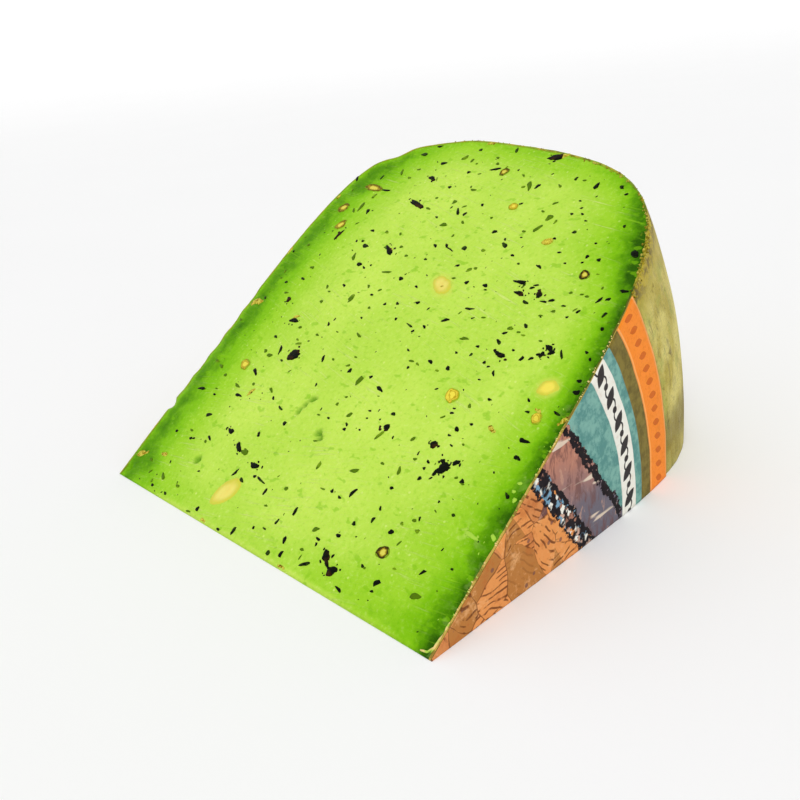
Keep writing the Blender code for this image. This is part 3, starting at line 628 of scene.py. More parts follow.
def cut_relief(across, radius, paste):
    """How far the upper cut face stands above its plane at a point."""
    place = Vector((across, radius, 0))
    swell = paste.swell * noise.noise(place * 38)
    turned = Matrix.Rotation(math.radians(5), 3, "Z") @ place
    drag = noise.noise(Vector((turned.x * 22, turned.y * 520, 3.1)))
    drag += 0.6 * noise.noise(Vector((turned.x * 40, turned.y * 1100, 8.4)))
    patches = smooth_step(noise.noise(place * 45 + Vector((0, 0, 5))), -0.25, 0.45)
    height = swell + paste.drag * drag * (0.4 + patches)
    torn = tear_share(across, radius)
    if torn > 0:
        rough = noise.noise(place * 620) + 0.7 * noise.noise(place * 1300)
        height += torn * paste.tear * rough
    for eye in EYES:
        share = ellipse_share(across, radius, eye)
        height -= paste.eye_depth * (1 - smooth_step(share, 0.45, 1.15))
    for chip_across, chip_radius, size, depth in EDGE_CHIPS:
        far = math.hypot(across - chip_across * MM, radius - chip_radius * MM)
        height -= depth * MM * (1 - smooth_step(far, 0.2 * size * MM, size * MM))
    return height * smooth_step(radius, 0, 2.5 * MM)


def row_lift(relief, angle, radius):
    """How far a row of a side moves with the upper cut above it, so that no row passes another."""
    below = (WEDGE_ANGLE - angle) * radius
    reach = min(3 * abs(relief), 0.9 * WEDGE_ANGLE * radius) + 0.001 * MM
    return relief * (1 - smooth_step(below, 0, reach))


def foot_relief(across, radius):
    """The lower cut face lies a hair above the floor, with its own slow unevenness."""
    return FOOT_CLEARANCE * (1 + 0.3 * noise.noise(Vector((across, radius, 2)) * 60))


def scene_object(name, data):
    """A new object at the scene's origin."""
    made = bpy.data.objects.new(name, data)
    bpy.context.scene.collection.objects.link(made)
    return made


def new_mesh(name, points, faces, materials):
    mesh = bpy.data.meshes.new(name)
    mesh.from_pydata([tuple(point) for point in points], [], faces)
    for material in materials:
        mesh.materials.append(material)
    return mesh


def mesh_object(name, points, faces, materials):
    """A mesh object at the origin, shaded smooth, with its materials in order."""
    mesh = new_mesh(name, points, faces, materials)
    mesh.shade_smooth()
    return scene_object(name, mesh)


def give_attribute(made, name, values):
    attribute = made.data.attributes.new(name, "FLOAT", "POINT")
    attribute.data.foreach_set("value", np.asarray(values, dtype=np.float32))


def give_uv(made, name, places):
    """Lays a UV map over a mesh from one (u, v) for each vertex."""
    layer = made.data.uv_layers.new(name=name)
    corners = np.empty(len(made.data.loops), dtype=np.int32)
    made.data.loops.foreach_get("vertex_index", corners)
    layer.data.foreach_set("uv", np.asarray(places, dtype=np.float32)[corners].ravel())


def join_frame(made, slot, *nodes):
    """Ties a finished piece to the frame, and hides the solids that it stands for."""
    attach(made, BODY)
    if nodes:
        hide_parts(*nodes)


def feed(tree, node, inputs):
    """Sets a node's inputs, given by name or number, or links them where the value is a socket."""
    for key, value in inputs.items():
        if isinstance(value, bpy.types.NodeSocket):
            tree.links.new(value, node.inputs[key])
        else:
            node.inputs[key].default_value = value


def put(tree, kind, inputs=None, **settings):
    """Adds a node with its settings and inputs."""
    made = tree.nodes.new(kind)
    for name, value in settings.items():
        setattr(made, name, value)
    feed(tree, made, inputs or {})
    return made


def calc(tree, operation, first, second=0.0, third=0.0):
    made = put(tree, "ShaderNodeMath", {0: first, 1: second, 2: third}, operation=operation)
    return made.outputs[0]


def times(tree, first, second):
    return calc(tree, "MULTIPLY", first, second)


def times_plus(tree, value, factor, added):
    return calc(tree, "MULTIPLY_ADD", value, factor, added)


def less(tree, first, second):
    return calc(tree, "SUBTRACT", first, second)


def vector_calc(tree, operation, first, second):
    return put(tree, "ShaderNodeVectorMath", {0: first, 1: second}, operation=operation).outputs[0]


def parts_of(tree, vector):
    return put(tree, "ShaderNodeSeparateXYZ", {0: vector}).outputs


def between(tree, value, low, high, to_low=0.0, to_high=1.0):
    """A value's share between two limits, eased at both ends."""
    inputs = {"Value": value, "From Min": low, "From Max": high, "To Min": to_low, "To Max": to_high}
    return put(tree, "ShaderNodeMapRange", inputs, interpolation_type="SMOOTHSTEP").outputs["Result"]


def banded(tree, value, start, band):
    """A value's share of a band, whose limits are counted from a start."""
    first, last, strength = band
    return between(tree, value, start + first, start + last, 0, strength)


def blend(tree, share, first, second, blend_type="MIX"):
    """Mixes two colours, each a socket or three numbers."""
    first, second = (
        value if isinstance(value, bpy.types.NodeSocket) else (*value, 1) for value in (first, second)
    )
    inputs = {"Factor": share, 6: first, 7: second}
    return put(tree, "ShaderNodeMix", inputs, data_type="RGBA", blend_type=blend_type).outputs[2]


def layered(tree, body, *layers):
    """Lays colours over a body one after another, each as (share, colour) or as (value, low, high,
    strength, colour), where the share is the value's own between low and high."""
    for *share, laid in layers:
        if len(share) > 1:
            value, low, high, strength = share
            share = [between(tree, value, low, high, 0, strength)]
        body = blend(tree, share[0], body, laid)
    return body


def clouds(tree, place, scale, detail=3.0, roughness=0.5, distortion=0.0):
    inputs = {"Vector": place, "Scale": scale, "Detail": detail, "Roughness": roughness}
    inputs["Distortion"] = distortion
    return put(tree, "ShaderNodeTexNoise", inputs).outputs["Fac"]


def stretched(tree, place, scale, turn=(0, 0, 0)):
    inputs = {"Vector": place, "Scale": scale, "Rotation": turn}
    return put(tree, "ShaderNodeMapping", inputs).outputs["Vector"]


def long_clouds(tree, place, scales, detail, roughness, distortion=0.0, turn=(0, 0, 0)):
    """Noise with a scale of its own along each axis."""
    return clouds(tree, stretched(tree, place, scales, turn), 1.0, detail, roughness, distortion)


def cells(tree, place, scale):
    return put(tree, "ShaderNodeTexVoronoi", {"Vector": place, "Scale": scale}).outputs


def ramp(tree, share, stops, interpolation="LINEAR"):
    """A colour ramp from (position, colour) stops."""
    made = put(tree, "ShaderNodeValToRGB", {"Fac": share})
    made.color_ramp.interpolation = interpolation
    elements = made.color_ramp.elements
    while len(elements) < len(stops):
        elements.new(0.5)
    for element, (position, value) in zip(elements, stops):
        element.position = position
        element.color = (*value, 1)
    return made.outputs["Color"]


def bump(tree, height, distance, strength=1.0):
    inputs = {"Height": height, "Distance": distance, "Strength": strength}
    return put(tree, "ShaderNodeBump", inputs).outputs["Normal"]


def drifted(tree, place, guide, scale, amount):
    """A place moved by a slow drift in all directions, which the guide's coordinates choose."""
    noisy = put(tree, "ShaderNodeTexNoise", {"Vector": guide, "Scale": scale, "Detail": 2.0})
    centred = vector_calc(tree, "SUBTRACT", noisy.outputs["Color"], (0.5, 0.5, 0.5))
    drift = put(tree, "ShaderNodeVectorMath", {0: centred, 3: amount}, operation="SCALE")
    return vector_calc(tree, "ADD", place, drift.outputs[0])


def turned_flat(tree, place, angle):
    inputs = {"Vector": place, "Angle": angle}
    return put(tree, "ShaderNodeVectorRotate", inputs, rotation_type="Z_AXIS").outputs[0]


def new_material(name):
    material = bpy.data.materials.new(name)
    material.use_nodes = True
    tree = material.node_tree
    return material, tree, tree.nodes["Principled BSDF"]


def set_finish(tree, shader, body, roughness, specular, normal):
    """Gives a shader what every finish here has: colour, roughness, gloss and relief."""
    feed(tree, shader, {"Base Color": body, "Roughness": roughness, "Normal": normal})
    shader.inputs["Specular IOR Level"].default_value = specular


def object_place(tree):
    return put(tree, "ShaderNodeTexCoord").outputs["Object"]


def uv_of(tree, name):
    return put(tree, "ShaderNodeUVMap", uv_map=name).outputs["UV"]


def attribute_of(tree, name):
    return put(tree, "ShaderNodeAttribute", attribute_name=name).outputs["Fac"]


def knife_lines(tree):
    """Long thin noise along the knife's way, which turned from falling to rising near the thin edge."""
    flat = uv_of(tree, "cut")
    bent = drifted(tree, flat, flat, 12, 0.016)
    rising, falling = (
        long_clouds(tree, turned_flat(tree, bent, math.radians(turn)), (80, 1700, 1), 4, 0.6)
        for turn in (-10, 14)
    )
    share = between(tree, parts_of(tree, flat)["Y"], 0.034, 0.044)
    return put(tree, "ShaderNodeMix", {0: share, 2: rising, 3: falling}, data_type="FLOAT").outputs[0]


def paste_material(paste):
    """Moist green paste: cloudy, streaked by the knife, darker where it has dried under the rind, with
    painted highlights and shade on its knife lines and grain, painted glints, and painted shade in its open
    eyes.
    """
    material, tree, shader = new_material("green_paste")
    place = object_place(tree)
    cloud = between(tree, clouds(tree, place, 42, 4, 0.6), 0.34, 0.66)
    near = attribute_of(tree, "rind_share")
    near = times_plus(tree, near, times_plus(tree, clouds(tree, place, 150, 5, 0.7), 0.9, -0.45), near)
    grain = clouds(tree, place, 1100, 3, 0.65)
    body = layered(
        tree, blend(tree, cloud, paste.deep, paste.light),
        (near, 0.05, 0.42, 1, paste.outer), (near, 0.38, 0.64, 1, paste.edge),
        (near, 0.60, 0.84, 1, paste.rind), (near, 0.82, 1.02, 1, paste.dark),
    )
    # The grain darkens and lightens the paste: partly its own mottle, partly painted shade and highlight on
    # its fine relief
    body = blend(tree, between(tree, grain, 0.52, 0.70, 0, 0.30), body, paste.deep, "MULTIPLY")
    bright = between(tree, near, 1.0, 0.2)
    drag = knife_lines(tree)
    # The knife lines show in patches, painted pale on their ridges as a highlight and darker in their grooves
    # as shade; their relief is in the bump
    knife_line_patches = between(tree, clouds(tree, place, 60, 3), 0.40, 0.60)
    streaks = times(tree, between(tree, drag, 0.56, 0.72), knife_line_patches)
    sunk = long_clouds(tree, place, (300, 480, 480), 2, 0.5)
    # Small pale dots all over the paste, painted glints
    glints = cells(tree, place, 330)["Distance"]
    torn = times(tree, attribute_of(tree, "tear_share"), 0.16)
    body = layered(
        tree, body,
        # Below, the pale grain, the pale knife ridges and the glints are painted highlights, and the darker
        # knife grooves are painted shade
        (grain, 0.46, 0.30, times(tree, bright, 0.24), paste.pale),
        (times(tree, between(tree, drag, 0.42, 0.28, 0, 0.45), knife_line_patches), paste.outer),
        (times(tree, streaks, times(tree, bright, 0.60)), paste.pale),
        (sunk, 0.63, 0.70, 0.50, paste.edge),
        (glints, 0.12, 0.06, times(tree, bright, 0.5), paste.pale),
        (times(tree, torn, between(tree, clouds(tree, place, 520, 4), 0.54, 0.64)), paste.pale),
        # Painted shade inside the open eyes
        (times(tree, attribute_of(tree, "hollow"), 0.85), paste.hollow),
        (times(tree, attribute_of(tree, "glow"), 0.6), paste.glow),
    )
    fine = times_plus(tree, streaks, 0.8, times(tree, grain, 0.9))
    rough = between(tree, cloud, 0, 1, 0.40, 0.55)
    set_finish(tree, shader, body, rough, 0.04, bump(tree, fine, 0.00012, 0.9))
    feed(tree, shader, {
        "Subsurface Weight": 0.10, "Subsurface Radius": (0.6, 1.0, 0.2), "Subsurface Scale": 0.0012,
    })
    return material


def coat_material(coat):
    """Semi-gloss khaki coat with streaks round the rim, pale places that are partly worn and partly a painted
    highlight, and brown stains.
    """
    material, tree, shader = new_material("rind_coat")
    along = uv_of(tree, "rind")
    streaks = long_clouds(tree, along, (820, 130, 1), 5, 0.65, 0.6)
    wide = long_clouds(tree, along, (90, 45, 1), 5, 0.65)
    patches = long_clouds(tree, along, (150, 90, 1), 4, 0.65)
    spots = long_clouds(tree, along, (330, 190, 1), 3, 0.7)
    grain = clouds(tree, along, 1500, 4, 0.7)
    parts = parts_of(tree, along)
    by_cut = times_plus(tree, clouds(tree, along, 330, 4, 0.7), 0.006, parts["Y"])
    width = WEDGE_ANGLE * RIM_RADIUS
    whole = line_length(rind_line(0))
    stained = blend(tree, between(tree, spots, 0.42, 0.60), coat.gold, coat.umber)
    foot = between(tree, by_cut, *FOOT_FADE, 0.45, 1)
    # The pale clouds and pale streaks are partly worn coat and partly a painted highlight
    body = layered(
        tree, blend(tree, between(tree, wide, 0.38, 0.60), coat.khaki, coat.pale),
        (patches, 0.50, 0.64, 0.55, coat.green),
        (grain, 0.50, 0.34, 0.40, coat.umber),
        (streaks, 0.54, 0.70, 0.60, coat.pale),
        (streaks, 0.45, 0.32, 0.50, coat.umber),
        (spots, 0.63, 0.70, 0.75, coat.umber),
        (banded(tree, by_cut, width, KHAKI_BAND), coat.khaki),
        (banded(tree, by_cut, width, STAIN_BAND), stained),
        (banded(tree, by_cut, width, EDGE_STAIN_BAND), stained),
        (times(tree, banded(tree, by_cut, 0, FOOT_STAIN_BAND), foot), coat.umber),
        (banded(tree, parts["X"], whole, UNDER_LABEL_BAND), coat.cut_by_label),
    )
    height = times_plus(tree, spots, 0.5, times_plus(tree, grain, 0.5, streaks))
    rough = between(tree, streaks, 0.3, 0.7, 0.46, 0.62)
    set_finish(tree, shader, body, rough, 0.2, bump(tree, height, 0.00028, 0.9))
    return material


def cut_coat_material(coat):
    """The coat's thin cut edge: green and yellow round the rim, dark, then tan along the label."""
    material, tree, shader = new_material("cut_coat")
    place = object_place(tree)
    along = parts_of(tree, uv_of(tree, "rind"))["X"]
    whole = line_length(rind_line(0))
    past_crest = between(tree, along, whole * 0.50, whole * 0.60, 0.15, 0.65)
    stains = between(tree, clouds(tree, place, 420, 3), 0.50, 0.62)
    body = layered(
        tree, blend(tree, between(tree, along, whole * 0.60, whole * 0.72), coat.cut, coat.cut_dark),
        (clouds(tree, place, 150, 4, 0.7), 0.46, 0.60, 1, coat.cut_yellow),
        (banded(tree, along, whole, DARK_EDGE_BAND), coat.cut_dark),
        (banded(tree, along, whole, TAN_EDGE_BAND), coat.cut_by_label),
        (times(tree, stains, past_crest), coat.umber),
    )
    set_finish(tree, shader, body, 0.6, 0.2, bump(tree, clouds(tree, place, 900, 2), 0.00015))
    return material


def ringed(tree, radius, inner, outer, soft=0.00012):
    """1 between two radii of the label, 0 elsewhere."""
    after = between(tree, radius, inner - soft, inner + soft)
    return times(tree, after, between(tree, radius, outer + soft, outer - soft))


def along_ring(tree, angle, middle, pitch, shift=0.0):
    """How far along its own pitch a place of a ring lies, from -0.5 to 0.5."""
    turns = calc(tree, "DIVIDE", times(tree, angle, middle), pitch)
    return less(tree, calc(tree, "FRACT", calc(tree, "ADD", turns, shift)), 0.5)


def leaf_mask(tree, angle, radius, middle, pitch, size, lean):
    """A row of leaves round a ring: each is as long as size, half as wide, and leans to one side."""
    along = times(tree, along_ring(tree, angle, middle, pitch), pitch / size)
    beside = calc(tree, "DIVIDE", less(tree, radius, middle), size)
    cosine, sine = math.cos(lean), math.sin(lean)
    length_way = times_plus(tree, beside, sine, times(tree, along, cosine))
    width_way = times_plus(tree, beside, cosine, times(tree, along, -sine))
    half_width = times_plus(tree, times(tree, length_way, length_way), -1.0, 0.25)
    return between(tree, less(tree, half_width, calc(tree, "ABSOLUTE", width_way)), 0.0, 0.03)


def dot_mask(tree, angle, radius, middle, pitch, size):
    """A row of dots round a ring, half a pitch on from the leaves."""
    along = times(tree, along_ring(tree, angle, middle, pitch, 0.5), pitch)
    beside = less(tree, radius, middle)
    far = calc(tree, "SQRT", times_plus(tree, along, along, times(tree, beside, beside)))
    return between(tree, far, size * 0.55, size * 0.45)


def fields_print(tree, place, picture, label):
    """A patchwork of ploughed fields with thin dark hedges between them, barer towards the middle."""
    bent = drifted(tree, picture, place, 70, 0.010)
    patchwork = {"Vector": stretched(tree, bent, (1, 1.5, 0)), "Scale": 88, "Randomness": 0.9}
    field = put(tree, "ShaderNodeTexVoronoi", patchwork).outputs["Color"]
    edge = put(tree, "ShaderNodeTexVoronoi", patchwork, feature="DISTANCE_TO_EDGE").outputs["Distance"]
    pick = put(tree, "ShaderNodeSeparateColor", {0: field}).outputs
    stops = (
        (0.0, label.tan), (0.14, label.apricot), (0.36, STUBBLE), (0.50, label.apricot), (0.66, CREAM),
        (0.72, label.apricot), (0.80, label.mauve), (0.90, label.plum),
    )
    outward = between(tree, parts_of(tree, picture)["Y"], 0.016, 0.040, -0.30, 0.12)
    wash = clouds(tree, place, 190, 5, 0.75)
    turned = turned_flat(tree, bent, times_plus(tree, pick[1], 1.4, 0.3))
    lines = put(
        tree, "ShaderNodeTexWave",
        {"Vector": turned, "Scale": 230, "Distortion": 1.6, "Detail": 2.0, "Detail Scale": 1.5},
        bands_direction="Y",
    ).outputs["Fac"]
    furrows = times(tree, between(tree, lines, 0.70, 0.92, 0, 0.85), between(tree, pick[2], 0.35, 0.40))
    broken = between(tree, clouds(tree, place, 300, 3), 0.44, 0.54)
    bush = cells(tree, place, 300)["Distance"]
    uneven = times_plus(tree, clouds(tree, place, 330, 3), 0.080, -0.036)
    return layered(
        tree, ramp(tree, calc(tree, "ADD", pick[0], outward), stops, "CONSTANT"),
        (wash, 0.50, 0.66, 0.55, label.rust),
        (wash, 0.46, 0.34, 0.60, STRAW),
        (times(tree, furrows, broken), label.bark),
        (bush, 0.17, 0.11, 0.75, label.plum),
        (less(tree, edge, uneven), 0.008, 0.0, 0.65, label.bark),
    )


def hedge_print(tree, place, label):
    """A broad dark hedge full of pale blue, white and yellow blossom."""
    blossom = cells(tree, drifted(tree, place, place, 900, 0.0022), 640)
    tone = put(tree, "ShaderNodeSeparateColor", {0: blossom["Color"]}).outputs[0]
    stops = (
        (0.0, label.white), (0.28, SKY_BLUE), (0.46, label.mauve), (0.70, BLUSH), (0.88, label.apricot),
    )
    open_place = between(tree, clouds(tree, place, 300, 3), 0.40, 0.50)
    spots = times(tree, between(tree, blossom["Distance"], 0.62, 0.50), open_place)
    return blend(tree, spots, label.ink, ramp(tree, tone, stops, "CONSTANT"))


def hills_print(tree, place, label):
    """Mauve hills with darker slopes and pale ridge strokes."""
    strokes = long_clouds(tree, place, (0, 420, 150), 4, 0.7, 0.5, (math.radians(35), 0, 0))
    ridge = long_clouds(tree, place, (0, 60, 330), 2, 0.5, 0.0, (math.radians(-40), 0, 0))
    height = times_plus(tree, clouds(tree, place, 80, 4, 0.6), 0.016, parts_of(tree, place)["Z"])
    return layered(
        tree, blend(tree, between(tree, height, 0.016, 0.032), label.slate, ROSE),
        (strokes, 0.50, 0.60, 0.7, label.plum),
        (strokes, 0.42, 0.36, 0.5, PALE_ROSE),
        (ridge, 0.36, 0.32, 0.9, CHALK),
    )


def teal_wash(tree, place, label):
    mottle = clouds(tree, place, 420, 4, 0.7)
    return blend(tree, between(tree, mottle, 0.40, 0.64), label.teal, label.pale_teal)


def landscape_print(tree, place, label):
    """A generic countryside: sky, hills, a blossoming hedge and fields down to bare ground."""
    parts = parts_of(tree, vector_calc(tree, "SUBTRACT", place, tuple(AXIS)))
    y, z = parts["Y"], parts["Z"]
    cosine, sine = math.cos(PICTURE_UP), math.sin(PICTURE_UP)
    along = times_plus(tree, y, -sine, times(tree, z, cosine))
    height = times_plus(tree, y, cosine, times(tree, z, sine))
    picture = put(tree, "ShaderNodeCombineXYZ", {0: along, 1: height}).outputs[0]
    body = fields_print(tree, place, picture, label)
    tufts = times_plus(tree, clouds(tree, place, 620, 4, 0.7), 0.0030, -0.0015)
    wood = between(tree, clouds(tree, place, 480, 3, 0.7), 0.60, 0.56)
    for (level, swing, scale, outline), painted in zip(SKYLINES, (hedge_print, hills_print, teal_wash)):
        line = long_clouds(tree, picture, (scale, 0, 0), 3, 0.6)
        crown = times_plus(tree, along, -0.07, times_plus(tree, line, swing, level - swing / 2))
        above = less(tree, height, calc(tree, "ADD", crown, tufts))
        body = layered(
            tree, body,
            (times(tree, between(tree, above, -outline - 0.0001, -outline), wood), label.ink),
            (above, -0.0001, 0.0001, 1, painted(tree, place, label)),
        )
    return body


def white_ring(tree, angle, radius, mottle, label):
    """The white ring, with a border of leaves and dots on a vine."""
    middle = (label.white_from + label.teal_from) / 2
    leaves = leaf_mask(tree, angle, radius, middle, LEAF_PITCH, LEAF_SIZE, LEAF_LEAN)
    vine = calc(tree, "SINE", times(tree, angle, math.tau * middle / LEAF_PITCH))
    vine = less(tree, radius, times_plus(tree, vine, VINE_SWING, middle))
    vine = between(tree, calc(tree, "ABSOLUTE", vine), 0.00030, 0.00016)
    dots = dot_mask(tree, angle, radius, middle, LEAF_PITCH, DOT_SIZE)
    pattern = calc(tree, "MAXIMUM", calc(tree, "MAXIMUM", leaves, dots), vine)
    return layered(
        tree, label.white,
        (mottle, 0.48, 0.75, 0.22, label.tan), (times(tree, pattern, 0.97), label.ink),
    )


def orange_ring(tree, angle, radius, mottle, grain, label):
    """The orange ring, with a row of leaning ovals between two pale lines."""
    middle = (label.orange_from + label.radius) / 2
    ovals = leaf_mask(tree, angle, radius, middle, OVAL_PITCH, OVAL_SIZE, OVAL_LEAN)
    lines = (label.orange_from + 0.00045, label.radius - 0.0004)
    return layered(
        tree, label.orange,
        (mottle, 0.48, 0.80, 0.30, label.rust),
        (grain, 0.52, 0.66, 0.5, DEEP_ORANGE),
        (times(tree, ovals, 0.75), BURNT_ORANGE),
        *(
            (times(tree, ringed(tree, radius, line - LINE_HALF, line + LINE_HALF), 0.7), PALE_ORANGE)
            for line in lines
        ),
    )


def label_material(label):
    """Satin paper printed in rings of colour, with a leaf border and a generic countryside."""
    material, tree, shader = new_material("printed_paper")
    place = object_place(tree)
    parts = parts_of(tree, uv_of(tree, "polar"))
    angle = parts["X"]
    wobble = times_plus(tree, clouds(tree, place, 120, 4), 0.0007, -0.00035)
    radius = calc(tree, "ADD", parts["Y"], wobble)
    mottle = clouds(tree, place, 520, 4, 0.7)
    grain = clouds(tree, place, 1700, 3, 0.7)
    white = white_ring(tree, angle, radius, mottle, label)
    olive = blend(tree, between(tree, mottle, 0.38, 0.66), label.olive, DARK_OLIVE)
    orange = orange_ring(tree, angle, radius, mottle, grain, label)
    body = layered(
        tree, landscape_print(tree, place, label),
        (ringed(tree, radius, label.white_from, label.teal_from), white),
        (ringed(tree, radius, label.teal_from, label.olive_from), teal_wash(tree, place, label)),
        (ringed(tree, radius, label.olive_from, label.orange_from), olive),
        (ringed(tree, radius, label.orange_from, label.radius + 0.002), orange),
        (clouds(tree, place, 70, 5, 0.75), 0.58, 0.74, 0.25, label.tan),
    )
    fibre = clouds(tree, place, 1500, 3, 0.6)
    height = times_plus(tree, fibre, 0.12, clouds(tree, place, 120, 3, 0.5))
    rough = between(tree, mottle, 0.3, 0.7, 0.50, 0.64)
    set_finish(tree, shader, body, rough, 0.08, bump(tree, height, 0.00035, 0.5))
    return material


def herb_material(name, main, other, roughness):
    """Leaf or stalk, mottled between two colours, a little shiny where it is wet."""
    material, tree, shader = new_material(name)
    place = object_place(tree)
    mottle = between(tree, clouds(tree, place, 420, 3), 0.52, 0.68)
    body = blend(tree, mottle, main, other)
    set_finish(tree, shader, body, roughness, 0.06, bump(tree, clouds(tree, place, 1800, 2), 0.00012))
    return material


def rind_crumb_material(inclusions):
    """Dried rind broken into crumbs, from brown to pale yellow."""
    material, tree, shader = new_material("rind_crumb")
    place = object_place(tree)
    umber, gold, pale = inclusions.umber_crumb, inclusions.gold_crumb, inclusions.pale_crumb
    stops = ((0.34, umber), (0.50, gold), (0.60, pale), (0.72, umber))
    body = ramp(tree, clouds(tree, place, 640, 4, 0.75), stops)
    set_finish(tree, shader, body, 0.6, 0.1, bump(tree, clouds(tree, place, 1800, 2), 0.00012))
    return material


def seed_material(inclusions):
    """A seed cut through: yellow flesh, a golden layer and a brown husk, each seed its own shade."""
    material, tree, shader = new_material("cut_seed")
    place = object_place(tree)
    speckle = times_plus(tree, clouds(tree, place, 900, 4), 1.2, -0.60)
    share = calc(tree, "ADD", attribute_of(tree, "rim"), speckle)
    flesh, gold, husk = inclusions.seed_flesh, inclusions.seed_gold, inclusions.seed_husk
    ripe = (
        (0.0, flesh), (0.36, flesh), (0.54, gold), (0.72, husk), (0.88, husk), (1.0, RIPE_HALO),
    )
    golden = (
        (0.0, BRIGHT_SEED), (0.34, BRIGHT_SEED), (0.54, AMBER), (0.68, BRIGHT_SEED), (0.86, AMBER),
        (1.0, GOLDEN_HALO),
    )
    smeared = ((0.34, husk), (0.43, gold), (0.50, flesh), (0.58, gold), (0.68, CHESTNUT))
    mixed = clouds(tree, place, 760, 4, 0.7)
    tone = attribute_of(tree, "tone")
    body = layered(
        tree, ramp(tree, share, ripe),
        (tone, 0, 0.5, 1, ramp(tree, share, golden)),
        (tone, 0.5, 1, 1, ramp(tree, mixed, smeared)),
    )
    set_finish(tree, shader, body, 0.5, 0.1, bump(tree, clouds(tree, place, 1600, 2), 0.00010))
    return material


def nut_material(inclusions):
    """Pale nut flesh that fades into the paste round its edge."""
    material, tree, shader = new_material("nut")
    place = object_place(tree)
    veins = between(tree, clouds(tree, stretched(tree, place, (1, 0.4, 0.4)), 420, 4), 0.40, 0.68)
    share = times_plus(tree, veins, 0.12, attribute_of(tree, "rim"))
    body = layered(
        tree, inclusions.nut,
        (times(tree, veins, 0.5), NUT_VEIN),
        (attribute_of(tree, "tone"), inclusions.yellow_nut),
        (share, 0.45, 0.95, 1, inclusions.nut_edge),
        (share, 0.92, 1.12, 1, NUT_HALO),
    )
    set_finish(tree, shader, body, 0.45, 0.2, bump(tree, veins, 0.00008, 0.7))
    feed(tree, shader, {"Subsurface Weight": 0.15, "Subsurface Scale": 0.001})
    return material


def floor_material(stage):
    material, tree, shader = new_material("pale_floor")
    cloud = between(tree, clouds(tree, object_place(tree), 6, 2), 0.3, 0.7, 0, 0.04)
    feed(tree, shader, {"Base Color": blend(tree, cloud, stage.floor, FLOOR_CLOUD), "Roughness": 0.6})
    return material


def patch_grid(left, right, bottom, top):
    """Fills four edge lines with rows and columns, as a stretched sheet would lie between them."""
    rows, columns = len(left), len(bottom)
    u = np.linspace(0, 1, columns)[None, :, None]
    v = np.linspace(0, 1, rows)[:, None, None]
    between_sides = (1 - u) * left[:, None] + u * right[:, None]
    between_ends = (1 - v) * bottom[None] + v * top[None]
    corners = (1 - v) * ((1 - u) * bottom[0] + u * bottom[-1]) + v * ((1 - u) * top[0] + u * top[-1])
    return between_sides + between_ends - corners


def cut_face_grid(inset):
    """The cut face as rows of (across, radius), from the thin edge out to the rim's crest."""
    left = evenly(rind_line(inset, 0, 0.25), PASTE_ROWS)
    top = evenly(rind_line(inset, 0.25, 0.75), PASTE_COLUMNS)
    right = evenly(rind_line(inset, 0.75, 1)[::-1], PASTE_ROWS)
    ends = np.stack([left[0], right[0]])
    return patch_grid(left, right, evenly(ends, PASTE_COLUMNS), top)


def border_of(rows, columns):
    """The grid's border as vertex numbers, once round."""
    number = np.arange(rows * columns).reshape(rows, columns)
    return [*number[0, :], *number[1:, -1], *number[-1, -2::-1], *number[-2:0:-1, 0]]


def rind_distance(places):
    """For each place the distance to the rind's line, and how far across the nearest rind lies."""
    line = evenly(rind_line(0), RIND_SAMPLES)
    depths, sides = [], []
    for across, radius in places:
        far = np.hypot(line[:, 0] - across, line[:, 1] - radius)
        nearest = far.argmin()
        depths.append(far[nearest])
        sides.append(line[nearest, 0])
    return depths, sides


def rind_shares(places, depths, sides):
    """How far the rind has darkened the paste at each place, from 0 to 1, with a darker band by the thin edge
    added.
    """
    shares = []
    for (_, radius), depth, side in zip(places, depths, sides):
        bare = 1 - smooth_step(side, *BARE_SIDE)
        by_label = smooth_step(side, *LABEL_SIDE)
        low = 1 - smooth_step(radius, *LOW_PART)
        zones = (
            (bare, BARE_ZONE), (by_label * (1 - low), LABEL_ZONE), (by_label * low, LOW_LABEL_ZONE),
            (1 - bare - by_label, CREST_ZONE),
        )
        dry = by_label * np.interp(radius / MM, *zip(*DRY_SHOULDER))
        depth *= 1 - DRY_SHOULDER_REACH * dry
        share = sum(weight * np.interp(depth / MM, *zip(*zone)) for weight, zone in zones)
        share *= 1 + DRY_SHOULDER_DARK * dry
        shares.append(share + np.interp(radius / MM, *zip(*TIP_ZONE)) * (1 - share))
    return shares


def fleck_room(places, depths):
    """1 where a scattered fleck may lie, 0 near the rind, the thin edge and the larger pieces."""
    pieces = (*SEEDS, *NUTS, *HERBS, *EYES)
    room = []
    for (across, radius), depth in zip(places, depths):
        free = min(depth, radius) > FLECK_MARGIN
        taken = any(ellipse_share(across, radius, place) < SPARED_SHARE for place in pieces)
        room.append(1.0 if free and not taken else 0.0)
    return room


def nearness(across, radius, tables, full, none):
    """1 inside the nearest ellipse of some tables, falling to 0 outside it."""
    share = min(ellipse_share(across, radius, place) for place in tables)
    return 1 - smooth_step(share, full, none)


def paste_faces(rows, columns, border):
    """The two cut faces' grids, and the turned rows that join them along the border."""
    count = rows * columns
    number = np.arange(count).reshape(rows, columns)
    quads = np.stack([number[:-1, :-1], number[:-1, 1:], number[1:, 1:], number[1:, :-1]], -1).reshape(-1, 4)
    faces = quads.tolist() + (quads[:, ::-1] + count).tolist()
    around = len(border)
    starts = [count * 2 + step * around for step in range(PASTE_TURNS - 1)]
    rings = [[place + count for place in border], *[range(start, start + around) for start in starts], border]
    for low, high in zip(rings, rings[1:]):
        for here in range(around):
            after = (here + 1) % around
            faces.append([low[here], low[after], high[after], high[here]])
    return faces


